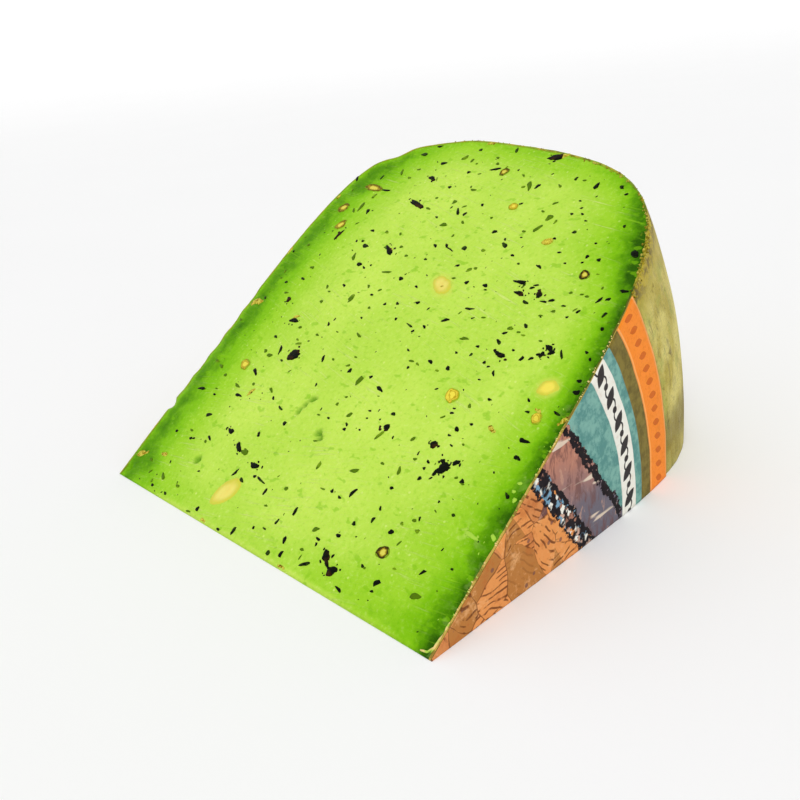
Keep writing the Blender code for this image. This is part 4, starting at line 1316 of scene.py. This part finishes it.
def give_paste_attributes(made, flat, border):
    """Tells the paste's material and the scattered pieces what lies where."""
    between_cuts = border * (PASTE_TURNS - 1)
    depths, sides = rind_distance(flat)
    shares = rind_shares(flat, depths, sides)
    room = fleck_room(flat, depths)
    upper_room = [share * UPPER_FLECK_SHARE for share in room]
    upper_only = {
        "tear_share": [tear_share(*place) for place in flat],
        # Where the painted shade inside the open eyes lies
        "hollow": [nearness(*place, EYES, 0.5, 1.25) for place in flat],
        "glow": [nearness(*place, NUTS[1:], 0.8, 1.6) for place in flat],
    }
    give_attribute(made, "rind_share", [*shares, *shares, *[shares[place] for place in between_cuts]])
    give_attribute(made, "fleck_room", [*upper_room, *room, *[0.0] * len(between_cuts)])
    for name, values in upper_only.items():
        give_attribute(made, name, [*values, *[0.0] * (len(flat) + len(between_cuts))])
    give_uv(made, "cut", np.concatenate([flat, flat, flat[between_cuts]]))


def make_paste(paste, coat):
    """The paste: two cut faces on the same grid, joined by the turned rind side and the thin edge."""
    grid = cut_face_grid(coat.thickness - COAT_OVERLAP)
    rows, columns = grid.shape[:2]
    flat = grid.reshape(-1, 2)
    border = border_of(rows, columns)
    upper_lift = np.array([cut_relief(*place, paste) - SINK for place in flat])
    lower_lift = np.array([foot_relief(*place) for place in flat])
    points = [
        placed(*dented(flat, WEDGE_ANGLE).T, WEDGE_ANGLE, upper_lift), placed(*flat.T, 0.0, lower_lift),
    ]
    for step in range(1, PASTE_TURNS):
        angle = WEDGE_ANGLE * step / PASTE_TURNS
        lifts = [row_lift(upper_lift[place], angle, flat[place][1]) for place in border]
        points.append(placed(*dented(flat[border], angle).T, angle, np.array(lifts)))
    faces = paste_faces(rows, columns, border)
    made = mesh_object("paste", np.concatenate(points), faces, [paste_material(paste)])
    give_paste_attributes(made, flat, border)
    return made


def shell_faces(around, turns):
    """Faces of a closed shell: an outer and an inner grid of (turns + 1) rings, joined at all edges.
    The second list numbers the faces that are a cut edge."""
    size = around * (turns + 1)
    faces, cut = [], []
    for turn in range(turns):
        for here in range(around - 1):
            first = turn * around + here
            quad = [first, first + around, first + around + 1, first + 1]
            faces.append(quad)
            faces.append([number + size for number in reversed(quad)])
    for turn, order in ((0, 1), (turns, -1)):
        for here in range(around - 1):
            first = turn * around + here
            quad = [first, first + 1, first + 1 + size, first + size]
            cut.append(len(faces))
            faces.append(quad[::order])
    for here, order in ((0, -1), (around - 1, 1)):
        for turn in range(turns):
            first = turn * around + here
            quad = [first, first + around, first + around + size, first + size]
            faces.append(quad[::order])
    return faces, cut


def make_shell(name, line, turns, sheet_at, uv_name, materials):
    """A thin closed sheet along a line of the section, turned up from the lower cut. sheet_at gives a
    place's outer point, inner point and UV place. The last material is the cut edge's."""
    spots = [sheet_at(turn, here) for turn in range(turns + 1) for here in range(len(line))]
    outside, inside, laid = (list(column) for column in zip(*spots))
    faces, cut = shell_faces(len(line), turns)
    made = mesh_object(name, outside + inside, faces, materials)
    for number in cut:
        made.data.polygons[number].material_index = len(materials) - 1
        made.data.polygons[number].use_smooth = False
    give_uv(made, uv_name, laid + laid)
    return made


def coat_height(along, across, radius, angle, coat):
    """Streaks and dents in the coat, fading out under the label so that the paper lies flat."""
    place = Vector((along * 300, angle * RIM_RADIUS * 26, 1.5))
    streak = noise.noise(place) + 0.6 * noise.noise(place * 2.3)
    dent = noise.noise(Vector((along * 70, angle * RIM_RADIUS * 45, 7.7)))
    bare = 1 - (1 - smooth_step(radius, 0.077, 0.081)) * smooth_step(across, 0.045, 0.050)
    return (coat.streak * streak + 0.16 * MM * dent) * bare - 0.05 * MM


def make_coat(paste, coat):
    """The coated rind: one thin shell over the bare face, the rim and the label's face."""
    whole = line_length(rind_line(0))
    line = evenly(rind_line(0), round(whole / COAT_STEP))
    away = normals_of(line)
    along = np.linspace(0, whole, len(line))
    turns = round(WEDGE_ANGLE * RIM_RADIUS / COAT_STEP)
    reliefs = [cut_relief(*place, paste) - COAT_INSET for place in line]

    def coat_at(turn, here):
        angle = WEDGE_ANGLE * turn / turns
        lift = row_lift(reliefs[here], angle, line[here][1]) if turn else COAT_INSET
        dent = dent_at(*line[here], angle)
        out = line[here] + away[here] * (coat_height(along[here], *line[here], angle, coat) - dent)
        thick = coat.thickness * (1 + 0.35 * noise.noise(Vector((along[here] * 160, angle * 30, 4))))
        deep = line[here] - away[here] * (max(thick, THINNEST_COAT) + dent)
        ends = (placed(*np.maximum(place, (-1, WORN_TIP)), angle, lift) for place in (out, deep))
        return *ends, (along[here], angle * RIM_RADIUS)

    materials = [coat_material(coat), cut_coat_material(coat)]
    return make_shell("rind_coat", line, turns, coat_at, "rind", materials)


def label_lift(place):
    """Wrinkles in the paper where it isn't stuck down evenly."""
    crease = abs(noise.noise(Vector((0, place.y * 55, place.z * 90)) + Vector((3, 0, 0))))
    slow = noise.noise(place * 80)
    return 0.10 * MM * max(0.0, 0.35 - crease) / 0.35 + 0.05 * MM * slow


def make_label(label):
    """The round label's sector: a thin sheet on the wheel's face, ragged where the knife cut it."""
    line = rind_line(0, 0.5, 1)
    line = line[line[:, 1] <= label.radius]
    line = evenly(line, round(label.radius / LABEL_STEP))
    away = normals_of(line)
    turns = round(WEDGE_ANGLE * label.radius / LABEL_STEP)

    def paper_at(turn, here):
        across, radius = line[here]
        ragged = (0.05 + 0.10 * abs(noise.noise(Vector((radius * 420, 0.5, turn // turns))))) * MM / radius
        start = min(ragged * 0.8, 0.02)
        stop = WEDGE_ANGLE - min(ragged, 0.05)
        angle = start + (stop - start) * turn / turns
        height = LABEL_GAP + max(0.0, label_lift(Vector(placed(across, radius, angle, 0.0))))
        ends = (
            placed(*(line[here] + away[here] * out), angle, 0.0) for out in (height + label.thickness, height)
        )
        return *ends, (angle, radius)

    return make_shell("label_sheet", line, turns, paper_at, "polar", [label_material(label)])


def blob(rings, sides, outline):
    """A small closed shape from rings of (share of the radius, height), its top first. outline gives
    the radius at each angle. Returns points, faces and each point's share of the radius."""
    points, shares = [(0, 0, rings[0][1])], [0.0]
    for share, height in rings:
        for side in range(sides):
            turn = math.tau * side / sides
            reach = outline(turn) * share
            points.append((reach * math.cos(turn), reach * math.sin(turn), height))
            shares.append(share)
    points.append((0, 0, rings[-1][1]))
    shares.append(0.0)
    faces = [(0, 1 + side, 1 + (side + 1) % sides) for side in range(sides)]
    for ring in range(len(rings) - 1):
        for side in range(sides):
            here, after = 1 + ring * sides + side, 1 + ring * sides + (side + 1) % sides
            faces.append((here, here + sides, after + sides, after))
    first, last = 1 + (len(rings) - 1) * sides, len(points) - 1
    faces += [(last, first + (side + 1) % sides, first + side) for side in range(sides)]
    return points, faces, shares


def uneven_outline(rng, amount, waves=(2, 3, 5)):
    """An outline round 1 that bulges and pinches, different at each call."""
    parts = [(wave, rng.uniform(0.4, 1) * amount / len(waves), rng.uniform(0, math.tau)) for wave in waves]
    return lambda turn: 1 + sum(size * math.sin(wave * turn + phase) for wave, size, phase in parts)


def ragged_outline(rng, sides, least, most):
    """An outline with a corner at each side, as of a torn or chopped leaf."""
    reaches = [rng.uniform(least, most) for _ in range(sides)]
    return lambda turn: reaches[round(turn / math.tau * sides) % sides]


def torn_outline(rng, sides):
    """A torn leaf's outline: slow bulges with a small corner at each side."""
    slow = uneven_outline(rng, 0.55, (1, 2, 3))
    corners = ragged_outline(rng, sides, 0.80, 1.10)
    return lambda turn: slow(turn) * corners(turn)


def teardrop(turn):
    """A pine nut's outline, blunt at the upper end and narrower at the lower one."""
    narrowed = 1 + 0.10 * math.cos(turn) * abs(math.sin(turn))
    return narrowed + 0.10 * max(0.0, -math.cos(turn)) ** 5 - 0.04


def moved(shape, matrix):
    points, faces, shares = shape
    return [matrix @ Vector(point) for point in points], faces, shares


def on_cut_face(shape, place, paste, scale_up=1.0):
    """Lays a shape of radius 1 on the upper cut face, stretched to its length and width in mm. Heights
    stay in metres."""
    across, radius, long_side, short_side, turn = place
    lift = cut_relief(across * MM, radius * MM, paste) - SINK
    point = placed(across * MM, radius * MM, WEDGE_ANGLE, lift)
    turned = Matrix.Rotation(WEDGE_ANGLE, 4, "X") @ Matrix.Rotation(math.radians(turn), 4, "Z")
    sized = Matrix.Diagonal((long_side * MM * scale_up / 2, short_side * MM * scale_up / 2, 1, 1))
    return moved(shape, Matrix.Translation(Vector(point)) @ turned @ sized)


def spot_beside(place, along, beside):
    """A spot's (across, radius) in mm, from how far along and beside a piece's long side it lies."""
    across, radius, _, _, turn = place
    slope = math.radians(turn)
    return (
        across + along * math.cos(slope) - beside * math.sin(slope),
        radius + along * math.sin(slope) + beside * math.cos(slope),
    )


def piled(name, shapes, material, tones=None):
    """Joins many small shapes, each (points, faces, shares), into one object with a rim attribute, and
    each shape's tone as another, 0 where none is given."""
    points, faces, shares, shades = [], [], [], []
    for shape, tone in zip(shapes, tones or [0.0] * len(shapes)):
        shape_points, shape_faces, shape_shares = shape
        first = len(points)
        points += shape_points
        faces += [tuple(first + number for number in face) for face in shape_faces]
        shares += shape_shares
        shades += [tone] * len(shape_points)
    made = mesh_object(name, points, faces, [material])
    give_attribute(made, "rim", shares)
    give_attribute(made, "tone", shades)
    return made


def smear_bits(rng, place):
    """Places for a smeared husk: one long flake in the middle and two bits that broke off it."""
    across, radius, long_side, short_side, turn = place
    bits = [(across, radius, long_side * 0.85, short_side * 0.75, turn)]
    for way in (-1, 1):
        along, beside = way * long_side * rng.uniform(0.25, 0.40), short_side * rng.uniform(-0.35, 0.35)
        size = rng.uniform(0.5, 0.8) * short_side
        across, radius = spot_beside(place, along, beside)
        bits.append(
            (across, max(radius, size), size, size * rng.uniform(0.5, 0.8), turn + rng.uniform(-40, 40))
        )
    return bits


def make_seeds(inclusions, paste):
    """Round seeds cut through, each an uneven ring round its flesh, and the smears of others."""
    rng = random.Random(inclusions.seed)
    shapes, tones = [], list(SEED_TONES)
    for place in SEEDS:
        shape = blob(SEED_RINGS, SEED_SIDES, uneven_outline(rng, 0.28, (1, 2, 3, 5)))
        shapes.append(on_cut_face(shape, place, paste, 0.95))
    for place in BLOTCHES:
        for bit in smear_bits(rng, place):
            shape = blob(SMEAR_RINGS, SMEAR_SIDES, torn_outline(rng, SMEAR_SIDES))
            shapes.append(on_cut_face(shape, bit, paste))
            tones.append(1.0)
    return piled("seeds", shapes, seed_material(inclusions), tones)


def make_nuts(inclusions, paste):
    """A pine nut and two rounder pieces, low domes in the cut face."""
    rng = random.Random(inclusions.seed + 1)
    outlines = [teardrop, *[uneven_outline(rng, 0.22) for _ in NUTS[1:]]]
    blobs = [blob(NUT_RINGS, NUT_SIDES, outline) for outline in outlines]
    shapes = [on_cut_face(shape, place, paste) for shape, place in zip(blobs, NUTS)]
    return piled("nuts", shapes, nut_material(inclusions), NUT_TONES)


def scraps_beside(rng, place, count):
    """Places for small scraps that broke off the piece at a place."""
    _, _, long_side, short_side, _ = place
    scraps = []
    for _ in range(count):
        way = rng.uniform(0, math.tau)
        along = (long_side / 2 + rng.uniform(0.1, 0.9)) * math.cos(way)
        beside = (short_side / 2 + rng.uniform(0.1, 0.7)) * math.sin(way)
        size = rng.uniform(0.4, 1.1)
        spot = spot_beside(place, along, beside)
        scraps.append((*spot, size, size * rng.uniform(0.4, 0.8), rng.uniform(0, 180)))
    return scraps


def ragged_pieces(rng, rings, sides, places, paste):
    """Small ragged pieces at given places on the upper cut face."""
    blobs = [blob(rings, sides, ragged_outline(rng, sides, 0.6, 1.1)) for _ in places]
    return [on_cut_face(shape, place, paste) for shape, place in zip(blobs, places)]


def make_herbs(inclusions, paste):
    """The larger black herb pieces, each a torn flake with scraps beside it."""
    rng = random.Random(inclusions.seed + 2)
    shapes = []
    for place in HERBS:
        shape = blob(HERB_RINGS, HERB_SIDES, torn_outline(rng, HERB_SIDES))
        shapes.append(on_cut_face(shape, place, paste, 0.92))
        scraps = scraps_beside(rng, place, rng.randint(2, 4))
        shapes += ragged_pieces(rng, FLECK_RINGS, SCRAP_SIDES, scraps, paste)
    material = herb_material("black_herb", inclusions.black, inclusions.brown, roughness=0.34)
    return piled("herbs", shapes, material)


def make_fleck_pile(name, places, material, paste, rng, size_up):
    """Small torn flecks at given places on the upper cut face."""
    shapes = []
    for place in places:
        sides = FLECK_SIDES[place[2] >= LONG_FLECK]
        shape = blob(FLECK_RINGS, sides, torn_outline(rng, sides))
        shapes.append(on_cut_face(shape, place, paste, size_up))
    return piled(name, shapes, material)


def rind_edge_places(rng, count, first, last, reach, least, most):
    """Random places within reach of the rind's line on the upper cut face, between two of its shares."""
    line = rind_line(0, first, last)
    away = normals_of(line)
    places = []
    for _ in range(count):
        spot = rng.randrange(len(line))
        size = rng.uniform(least, most)
        depth = abs(rng.gauss(0, 1)) * reach + 0.35 * size * MM
        across, radius = (line[spot] - away[spot] * depth) / MM
        radius = max(radius, 0.5 + 0.55 * size)
        places.append((across, radius, size, size * rng.uniform(0.4, 0.9), rng.uniform(0, 180)))
    return places


def edge_lumps(rng, count, first, last, least, most):
    """Small lumps half sunk in the rind just below the upper cut, between two shares of its line."""
    line = rind_line(0, first, last)
    away = normals_of(line)
    shapes = []
    for _ in range(count):
        spot = rng.randrange(len(line))
        size = rng.uniform(least, most) * MM
        across, radius = line[spot] - away[spot] * rng.uniform(0.10, 0.35) * size
        angle = WEDGE_ANGLE - abs(rng.gauss(0, 0.9)) * MM / radius
        point = Vector(placed(across, radius, angle, 0.0))
        spun = Matrix.Rotation(rng.uniform(0, math.tau), 4, "Z")
        tipped = Matrix.Rotation(rng.uniform(0.5, 1.2), 4, "Y")
        sized = Matrix.Diagonal((size / 2, size * rng.uniform(0.3, 0.5), size / 2, 1))
        shape = blob(LUMP_RINGS, SCRAP_SIDES, ragged_outline(rng, SCRAP_SIDES, 0.65, 1.1))
        shapes.append(moved(shape, Matrix.Translation(point) @ spun @ tipped @ sized))
    return shapes


def flake_collection(name, rng, material, slimness, count=7):
    """A hidden collection of small ragged flakes of length 1, for scattering."""
    collection = bpy.data.collections.new(name)
    for number in range(count):
        slim = rng.uniform(*slimness)
        points, faces, _ = blob(FLAKE_RINGS, CRUMB_SIDES, ragged_outline(rng, CRUMB_SIDES, 0.5, 1.1))
        points = [(0.5 * x, 0.5 * slim * y, z) for x, y, z in points]
        mesh = new_mesh(f"{name}_{number}", points, faces, [material])
        collection.objects.link(bpy.data.objects.new(mesh.name, mesh))
    return collection


def scatter_tree(name, material):
    """Geometry nodes that strew a collection's shapes over faces, few of them large."""
    tree = bpy.data.node_groups.new(name, "GeometryNodeTree")
    for wanted, kind in SCATTER_INPUTS:
        tree.interface.new_socket(wanted, in_out="INPUT", socket_type=f"NodeSocket{kind}")
    tree.interface.new_socket("Geometry", in_out="OUTPUT", socket_type="NodeSocketGeometry")
    given = tree.nodes.new("NodeGroupInput").outputs
    room = put(tree, "GeometryNodeInputNamedAttribute", {"Name": given["Room"]}, data_type="FLOAT")
    strewn = put(
        tree,
        "GeometryNodeDistributePointsOnFaces",
        {
            "Mesh": given["Geometry"], "Distance Min": given["Spacing"], "Density Max": given["Density"],
            "Density Factor": room.outputs["Attribute"], "Seed": given["Seed"],
        },
        distribute_method="POISSON",
    ).outputs
    shapes = put(
        tree, "GeometryNodeCollectionInfo",
        {"Collection": given["Shapes"], "Separate Children": True, "Reset Children": True},
    )
    draw = put(tree, "FunctionNodeRandomValue", {"Seed": given["Seed"]}, data_type="FLOAT")
    few_large = calc(tree, "POWER", draw.outputs[1], 2.6)
    size = times_plus(tree, few_large, less(tree, given["Largest"], given["Smallest"]), given["Smallest"])
    turn = put(tree, "FunctionNodeRandomValue", {3: math.tau, "Seed": 5}, data_type="FLOAT")
    spin = put(tree, "FunctionNodeAxisAngleToRotation", {"Axis": (0, 0, 1), "Angle": turn.outputs[1]})
    turned = put(
        tree, "FunctionNodeRotateRotation",
        {"Rotation": strewn["Rotation"], "Rotate By": spin.outputs[0]}, rotation_space="LOCAL",
    )
    pick = put(tree, "FunctionNodeRandomValue", {5: 100, "Seed": 9}, data_type="INT")
    laid = put(
        tree, "GeometryNodeInstanceOnPoints",
        {
            "Points": strewn["Points"], "Instance": shapes.outputs[0], "Pick Instance": True,
            "Instance Index": pick.outputs[2], "Rotation": turned.outputs[0], "Scale": size,
        },
    )
    whole = put(tree, "GeometryNodeRealizeInstances", {"Geometry": laid.outputs[0]})
    coloured = put(tree, "GeometryNodeSetMaterial", {"Geometry": whole.outputs[0], "Material": material})
    put(tree, "NodeGroupOutput", {"Geometry": coloured.outputs[0]})
    return tree


def scattered(name, ground, material, rng, slimness, values):
    """Strews flakes over the ground mesh and keeps the result as one plain mesh object."""
    flakes = flake_collection(name, rng, material, slimness)
    tree = scatter_tree(name, material)
    carrier = scene_object(name, ground.data.copy())
    modifier = carrier.modifiers.new("scatter", "NODES")
    modifier.node_group = tree
    sockets = {
        item.name: item.identifier for item in tree.interface.items_tree if item.in_out == "INPUT"
    }
    for key, value in {"Shapes": flakes, **values}.items():
        modifier[sockets[key]] = value
    graph = bpy.context.evaluated_depsgraph_get()
    mesh = bpy.data.meshes.new_from_object(carrier.evaluated_get(graph))
    carrier.modifiers.remove(modifier)
    carrier.data = mesh
    mesh.shade_smooth()
    for flake in list(flakes.objects):
        bpy.data.objects.remove(flake, do_unlink=True)
    bpy.data.collections.remove(flakes)
    return carrier


def piece_named(name):
    if name not in bpy.data.objects:
        raise RuntimeError(f"{name} has to be made first")
    return bpy.data.objects[name]


def make_sun(stage):
    data = bpy.data.lights.new("key", "SUN")
    data.energy = stage.key
    data.angle = stage.softness
    scene_object("key", data).rotation_euler = Vector(SUN_FROM).to_track_quat("Z", "Y").to_euler()


def make_camera(stage):
    """The photograph's camera: azimuth and elevation of its view, then its roll."""
    flat = math.cos(CAMERA_ELEVATION)
    back = Vector(
        (math.sin(CAMERA_AZIMUTH) * flat, -math.cos(CAMERA_AZIMUTH) * flat, math.sin(CAMERA_ELEVATION))
    )
    level = (-back).cross(Vector((0, 0, 1))).normalized()
    upright = level.cross(-back)
    right = level * math.cos(CAMERA_ROLL) + upright * math.sin(CAMERA_ROLL)
    up = upright * math.cos(CAMERA_ROLL) - level * math.sin(CAMERA_ROLL)
    turned = Matrix((right, up, back)).transposed().to_4x4()
    data = bpy.data.cameras.new("camera")
    data.lens = stage.lens
    data.sensor_width = SENSOR_WIDTH
    data.clip_start = NEAREST_SEEN
    camera = scene_object("camera", data)
    camera.matrix_world = Matrix.Translation(AXIS + CAMERA_PLACE) @ turned
    bpy.context.scene.camera = camera


def make_floor(stage):
    """A round floor that curves up to a low wall, so that no horizon shows."""
    points, faces = [(0, 0, 0)], []
    for ring, (reach, height) in enumerate(FLOOR_PROFILE):
        for side in range(FLOOR_SIDES):
            turn = math.tau * side / FLOOR_SIDES
            points.append((reach * math.cos(turn), reach * math.sin(turn), height))
            here, after = (1 + ring * FLOOR_SIDES + step % FLOOR_SIDES for step in (side, side + 1))
            if ring == 0:
                faces.append((0, here, after))
            else:
                faces.append((here - FLOOR_SIDES, here, after, after - FLOOR_SIDES))
    mesh_object("floor", points, faces, [floor_material(stage)])


def make_room_light(stage):
    world = bpy.data.worlds.new("room")
    world.use_nodes = True
    background = world.node_tree.nodes["Background"]
    feed(world.node_tree, background, {"Color": (1, 1, 1, 1), "Strength": stage.sky})
    bpy.context.scene.world = world


class CHEESE_OT_paste(bpy.types.Operator):
    """Make the green paste with its two cut faces"""

    bl_idname = "cheese.paste"
    bl_label = "Paste"

    def execute(self, context):
        scene = context.scene
        join_frame(make_paste(scene.cheese_paste, scene.cheese_coat), "green_paste", "cheese")
        return {"FINISHED"}


class CHEESE_OT_coat(bpy.types.Operator):
    """Make the coated rind over the wheel's faces and rim"""

    bl_idname = "cheese.coat"
    bl_label = "Rind coat"

    def execute(self, context):
        scene = context.scene
        join_frame(make_coat(scene.cheese_paste, scene.cheese_coat), "green_paste", "cheese")
        return {"FINISHED"}


class CHEESE_OT_label(bpy.types.Operator):
    """Make the printed paper label on the wheel's flat face"""

    bl_idname = "cheese.label"
    bl_label = "Label"

    def execute(self, context):
        join_frame(make_label(context.scene.cheese_label), "printed_paper", "label")
        return {"FINISHED"}


class CHEESE_OT_seeds_and_nuts(bpy.types.Operator):
    """Make the cut seeds and the nuts in the cut face"""

    bl_idname = "cheese.seeds_and_nuts"
    bl_label = "Seeds and nuts"

    def execute(self, context):
        scene = context.scene
        for make in (make_seeds, make_nuts):
            join_frame(make(scene.cheese_inclusions, scene.cheese_paste), "green_paste")
        return {"FINISHED"}


class CHEESE_OT_herbs(bpy.types.Operator):
    """Make the larger herb pieces and the small flecks of the upper cut face"""

    bl_idname = "cheese.herbs"
    bl_label = "Herb pieces"

    def execute(self, context):
        kinds, paste = context.scene.cheese_inclusions, context.scene.cheese_paste
        rng = random.Random(kinds.seed + 5)
        join_frame(make_herbs(kinds, paste), "green_paste")
        dark = herb_material("dark_piece", kinds.black, kinds.bottle, roughness=0.36)
        leaf = herb_material("leaf_piece", kinds.leaf, kinds.sunk_leaf, roughness=0.45)
        join_frame(make_fleck_pile("dark_pieces", DARK_FLECKS, dark, paste, rng, 0.92), "green_paste")
        join_frame(make_fleck_pile("leaf_pieces", LEAF_FLECKS, leaf, paste, rng, 1.15), "green_paste")
        return {"FINISHED"}


class CHEESE_OT_flecks(bpy.types.Operator):
    """Strew small dark and green flecks over both cut faces"""

    bl_idname = "cheese.flecks"
    bl_label = "Scattered flecks"

    def execute(self, context):
        kinds = context.scene.cheese_inclusions
        rng = random.Random(kinds.seed + 3)
        values = {
            "Room": "fleck_room", "Density": FLECK_DENSITY, "Smallest": kinds.fleck_smallest,
            "Largest": kinds.fleck_largest,
        }
        for kind, colours, roughness, slimness, spacing, seed in (
            ("dark", (kinds.black, kinds.bottle), 0.4, (0.35, 0.8), kinds.dark_spacing, kinds.seed),
            ("leaf", (kinds.leaf, kinds.sunk_leaf), 0.45, (0.3, 0.7), kinds.leaf_spacing, kinds.seed + 1),
        ):
            material = herb_material(f"{kind}_fleck", *colours, roughness)
            values |= {"Spacing": spacing, "Seed": seed}
            made = scattered(f"{kind}_flecks", piece_named("paste"), material, rng, slimness, values)
            join_frame(made, "green_paste")
        return {"FINISHED"}


class CHEESE_OT_crumbs(bpy.types.Operator):
    """Strew crumbs of paste, dried rind and paper along the edge by the label"""

    bl_idname = "cheese.crumbs"
    bl_label = "Crumbs"

    def execute(self, context):
        scene = context.scene
        kinds, paste = scene.cheese_inclusions, scene.cheese_paste
        rng = random.Random(kinds.seed + 4)
        crumb = herb_material("paste_crumb", kinds.crumb, paste.outer, roughness=0.5)
        values = {
            "Room": "tear_share", "Spacing": 1.0 * MM, "Density": CRUMB_DENSITY, "Seed": kinds.seed + 2,
            "Smallest": 0.3 * MM, "Largest": kinds.crumb_largest,
        }
        join_frame(scattered("crumbs", piece_named("paste"), crumb, rng, (0.3, 0.8), values), "green_paste")
        join_frame(make_fleck_pile("shreds", SHREDS, crumb, paste, rng, 1.0), "green_paste")
        places = [place for crumbs in RIND_CRUMBS for place in rind_edge_places(rng, *crumbs)]
        shapes = ragged_pieces(rng, CRUMB_RINGS, CRUMB_SIDES, places, paste)
        for lumps in RIND_LUMPS:
            shapes += edge_lumps(rng, *lumps)
        join_frame(piled("rind_crumbs", shapes, rind_crumb_material(kinds)), "green_paste")
        places = [*rind_edge_places(rng, *PAPER_CRUMBS), *STRIPS]
        shapes = ragged_pieces(rng, CRUMB_RINGS, CRUMB_SIDES, places, paste)
        paper = herb_material("paper_crumb", kinds.shred, kinds.crumb, roughness=0.6)
        join_frame(piled("paper_crumbs", shapes, paper), "printed_paper")
        return {"FINISHED"}


class CHEESE_OT_stage(bpy.types.Operator):
    """Make the pale floor, the soft lights and the camera"""

    bl_idname = "cheese.stage"
    bl_label = "Stage"

    def execute(self, context):
        stage = context.scene.cheese_stage
        make_floor(stage)
        make_room_light(stage)
        make_sun(stage)
        make_camera(stage)
        context.scene.view_settings.view_transform = "Standard"
        return {"FINISHED"}


OPERATORS = (
    CHEESE_OT_paste,
    CHEESE_OT_coat,
    CHEESE_OT_label,
    CHEESE_OT_seeds_and_nuts,
    CHEESE_OT_herbs,
    CHEESE_OT_flecks,
    CHEESE_OT_crumbs,
    CHEESE_OT_stage,
)
SETTINGS = {
    "cheese_paste": CheesePasteSettings,
    "cheese_coat": CheeseCoatSettings,
    "cheese_label": CheeseLabelSettings,
    "cheese_inclusions": CheeseInclusionSettings,
    "cheese_stage": CheeseStageSettings,
}


class CHEESE_PT_wedge(bpy.types.Panel):
    """The cheese wedge's pieces, in the order they are made"""

    bl_idname = "CHEESE_PT_wedge"
    bl_label = "Cheese wedge"
    bl_space_type = "VIEW_3D"
    bl_region_type = "UI"
    bl_category = "Cheese"

    def draw(self, context):
        for operator in OPERATORS:
            self.layout.operator(operator.bl_idname)


def register():
    for settings in SETTINGS.values():
        bpy.utils.register_class(settings)
    for name, settings in SETTINGS.items():
        setattr(bpy.types.Scene, name, PointerProperty(type=settings))
    for operator in OPERATORS:
        bpy.utils.register_class(operator)
    bpy.utils.register_class(CHEESE_PT_wedge)


def unregister():
    bpy.utils.unregister_class(CHEESE_PT_wedge)
    for operator in reversed(OPERATORS):
        bpy.utils.unregister_class(operator)
    for name in SETTINGS:
        delattr(bpy.types.Scene, name)
    for settings in SETTINGS.values():
        bpy.utils.unregister_class(settings)


def write_sizes():
    """Updates the view layer."""
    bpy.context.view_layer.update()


def main():
    register()
    bpy.ops.cheese.paste()
    bpy.ops.cheese.coat()
    bpy.ops.cheese.label()
    bpy.ops.cheese.seeds_and_nuts()
    bpy.ops.cheese.herbs()
    bpy.ops.cheese.flecks()
    bpy.ops.cheese.crumbs()
    bpy.ops.cheese.stage()
    write_sizes()


if __name__ == "__main__":
    main()
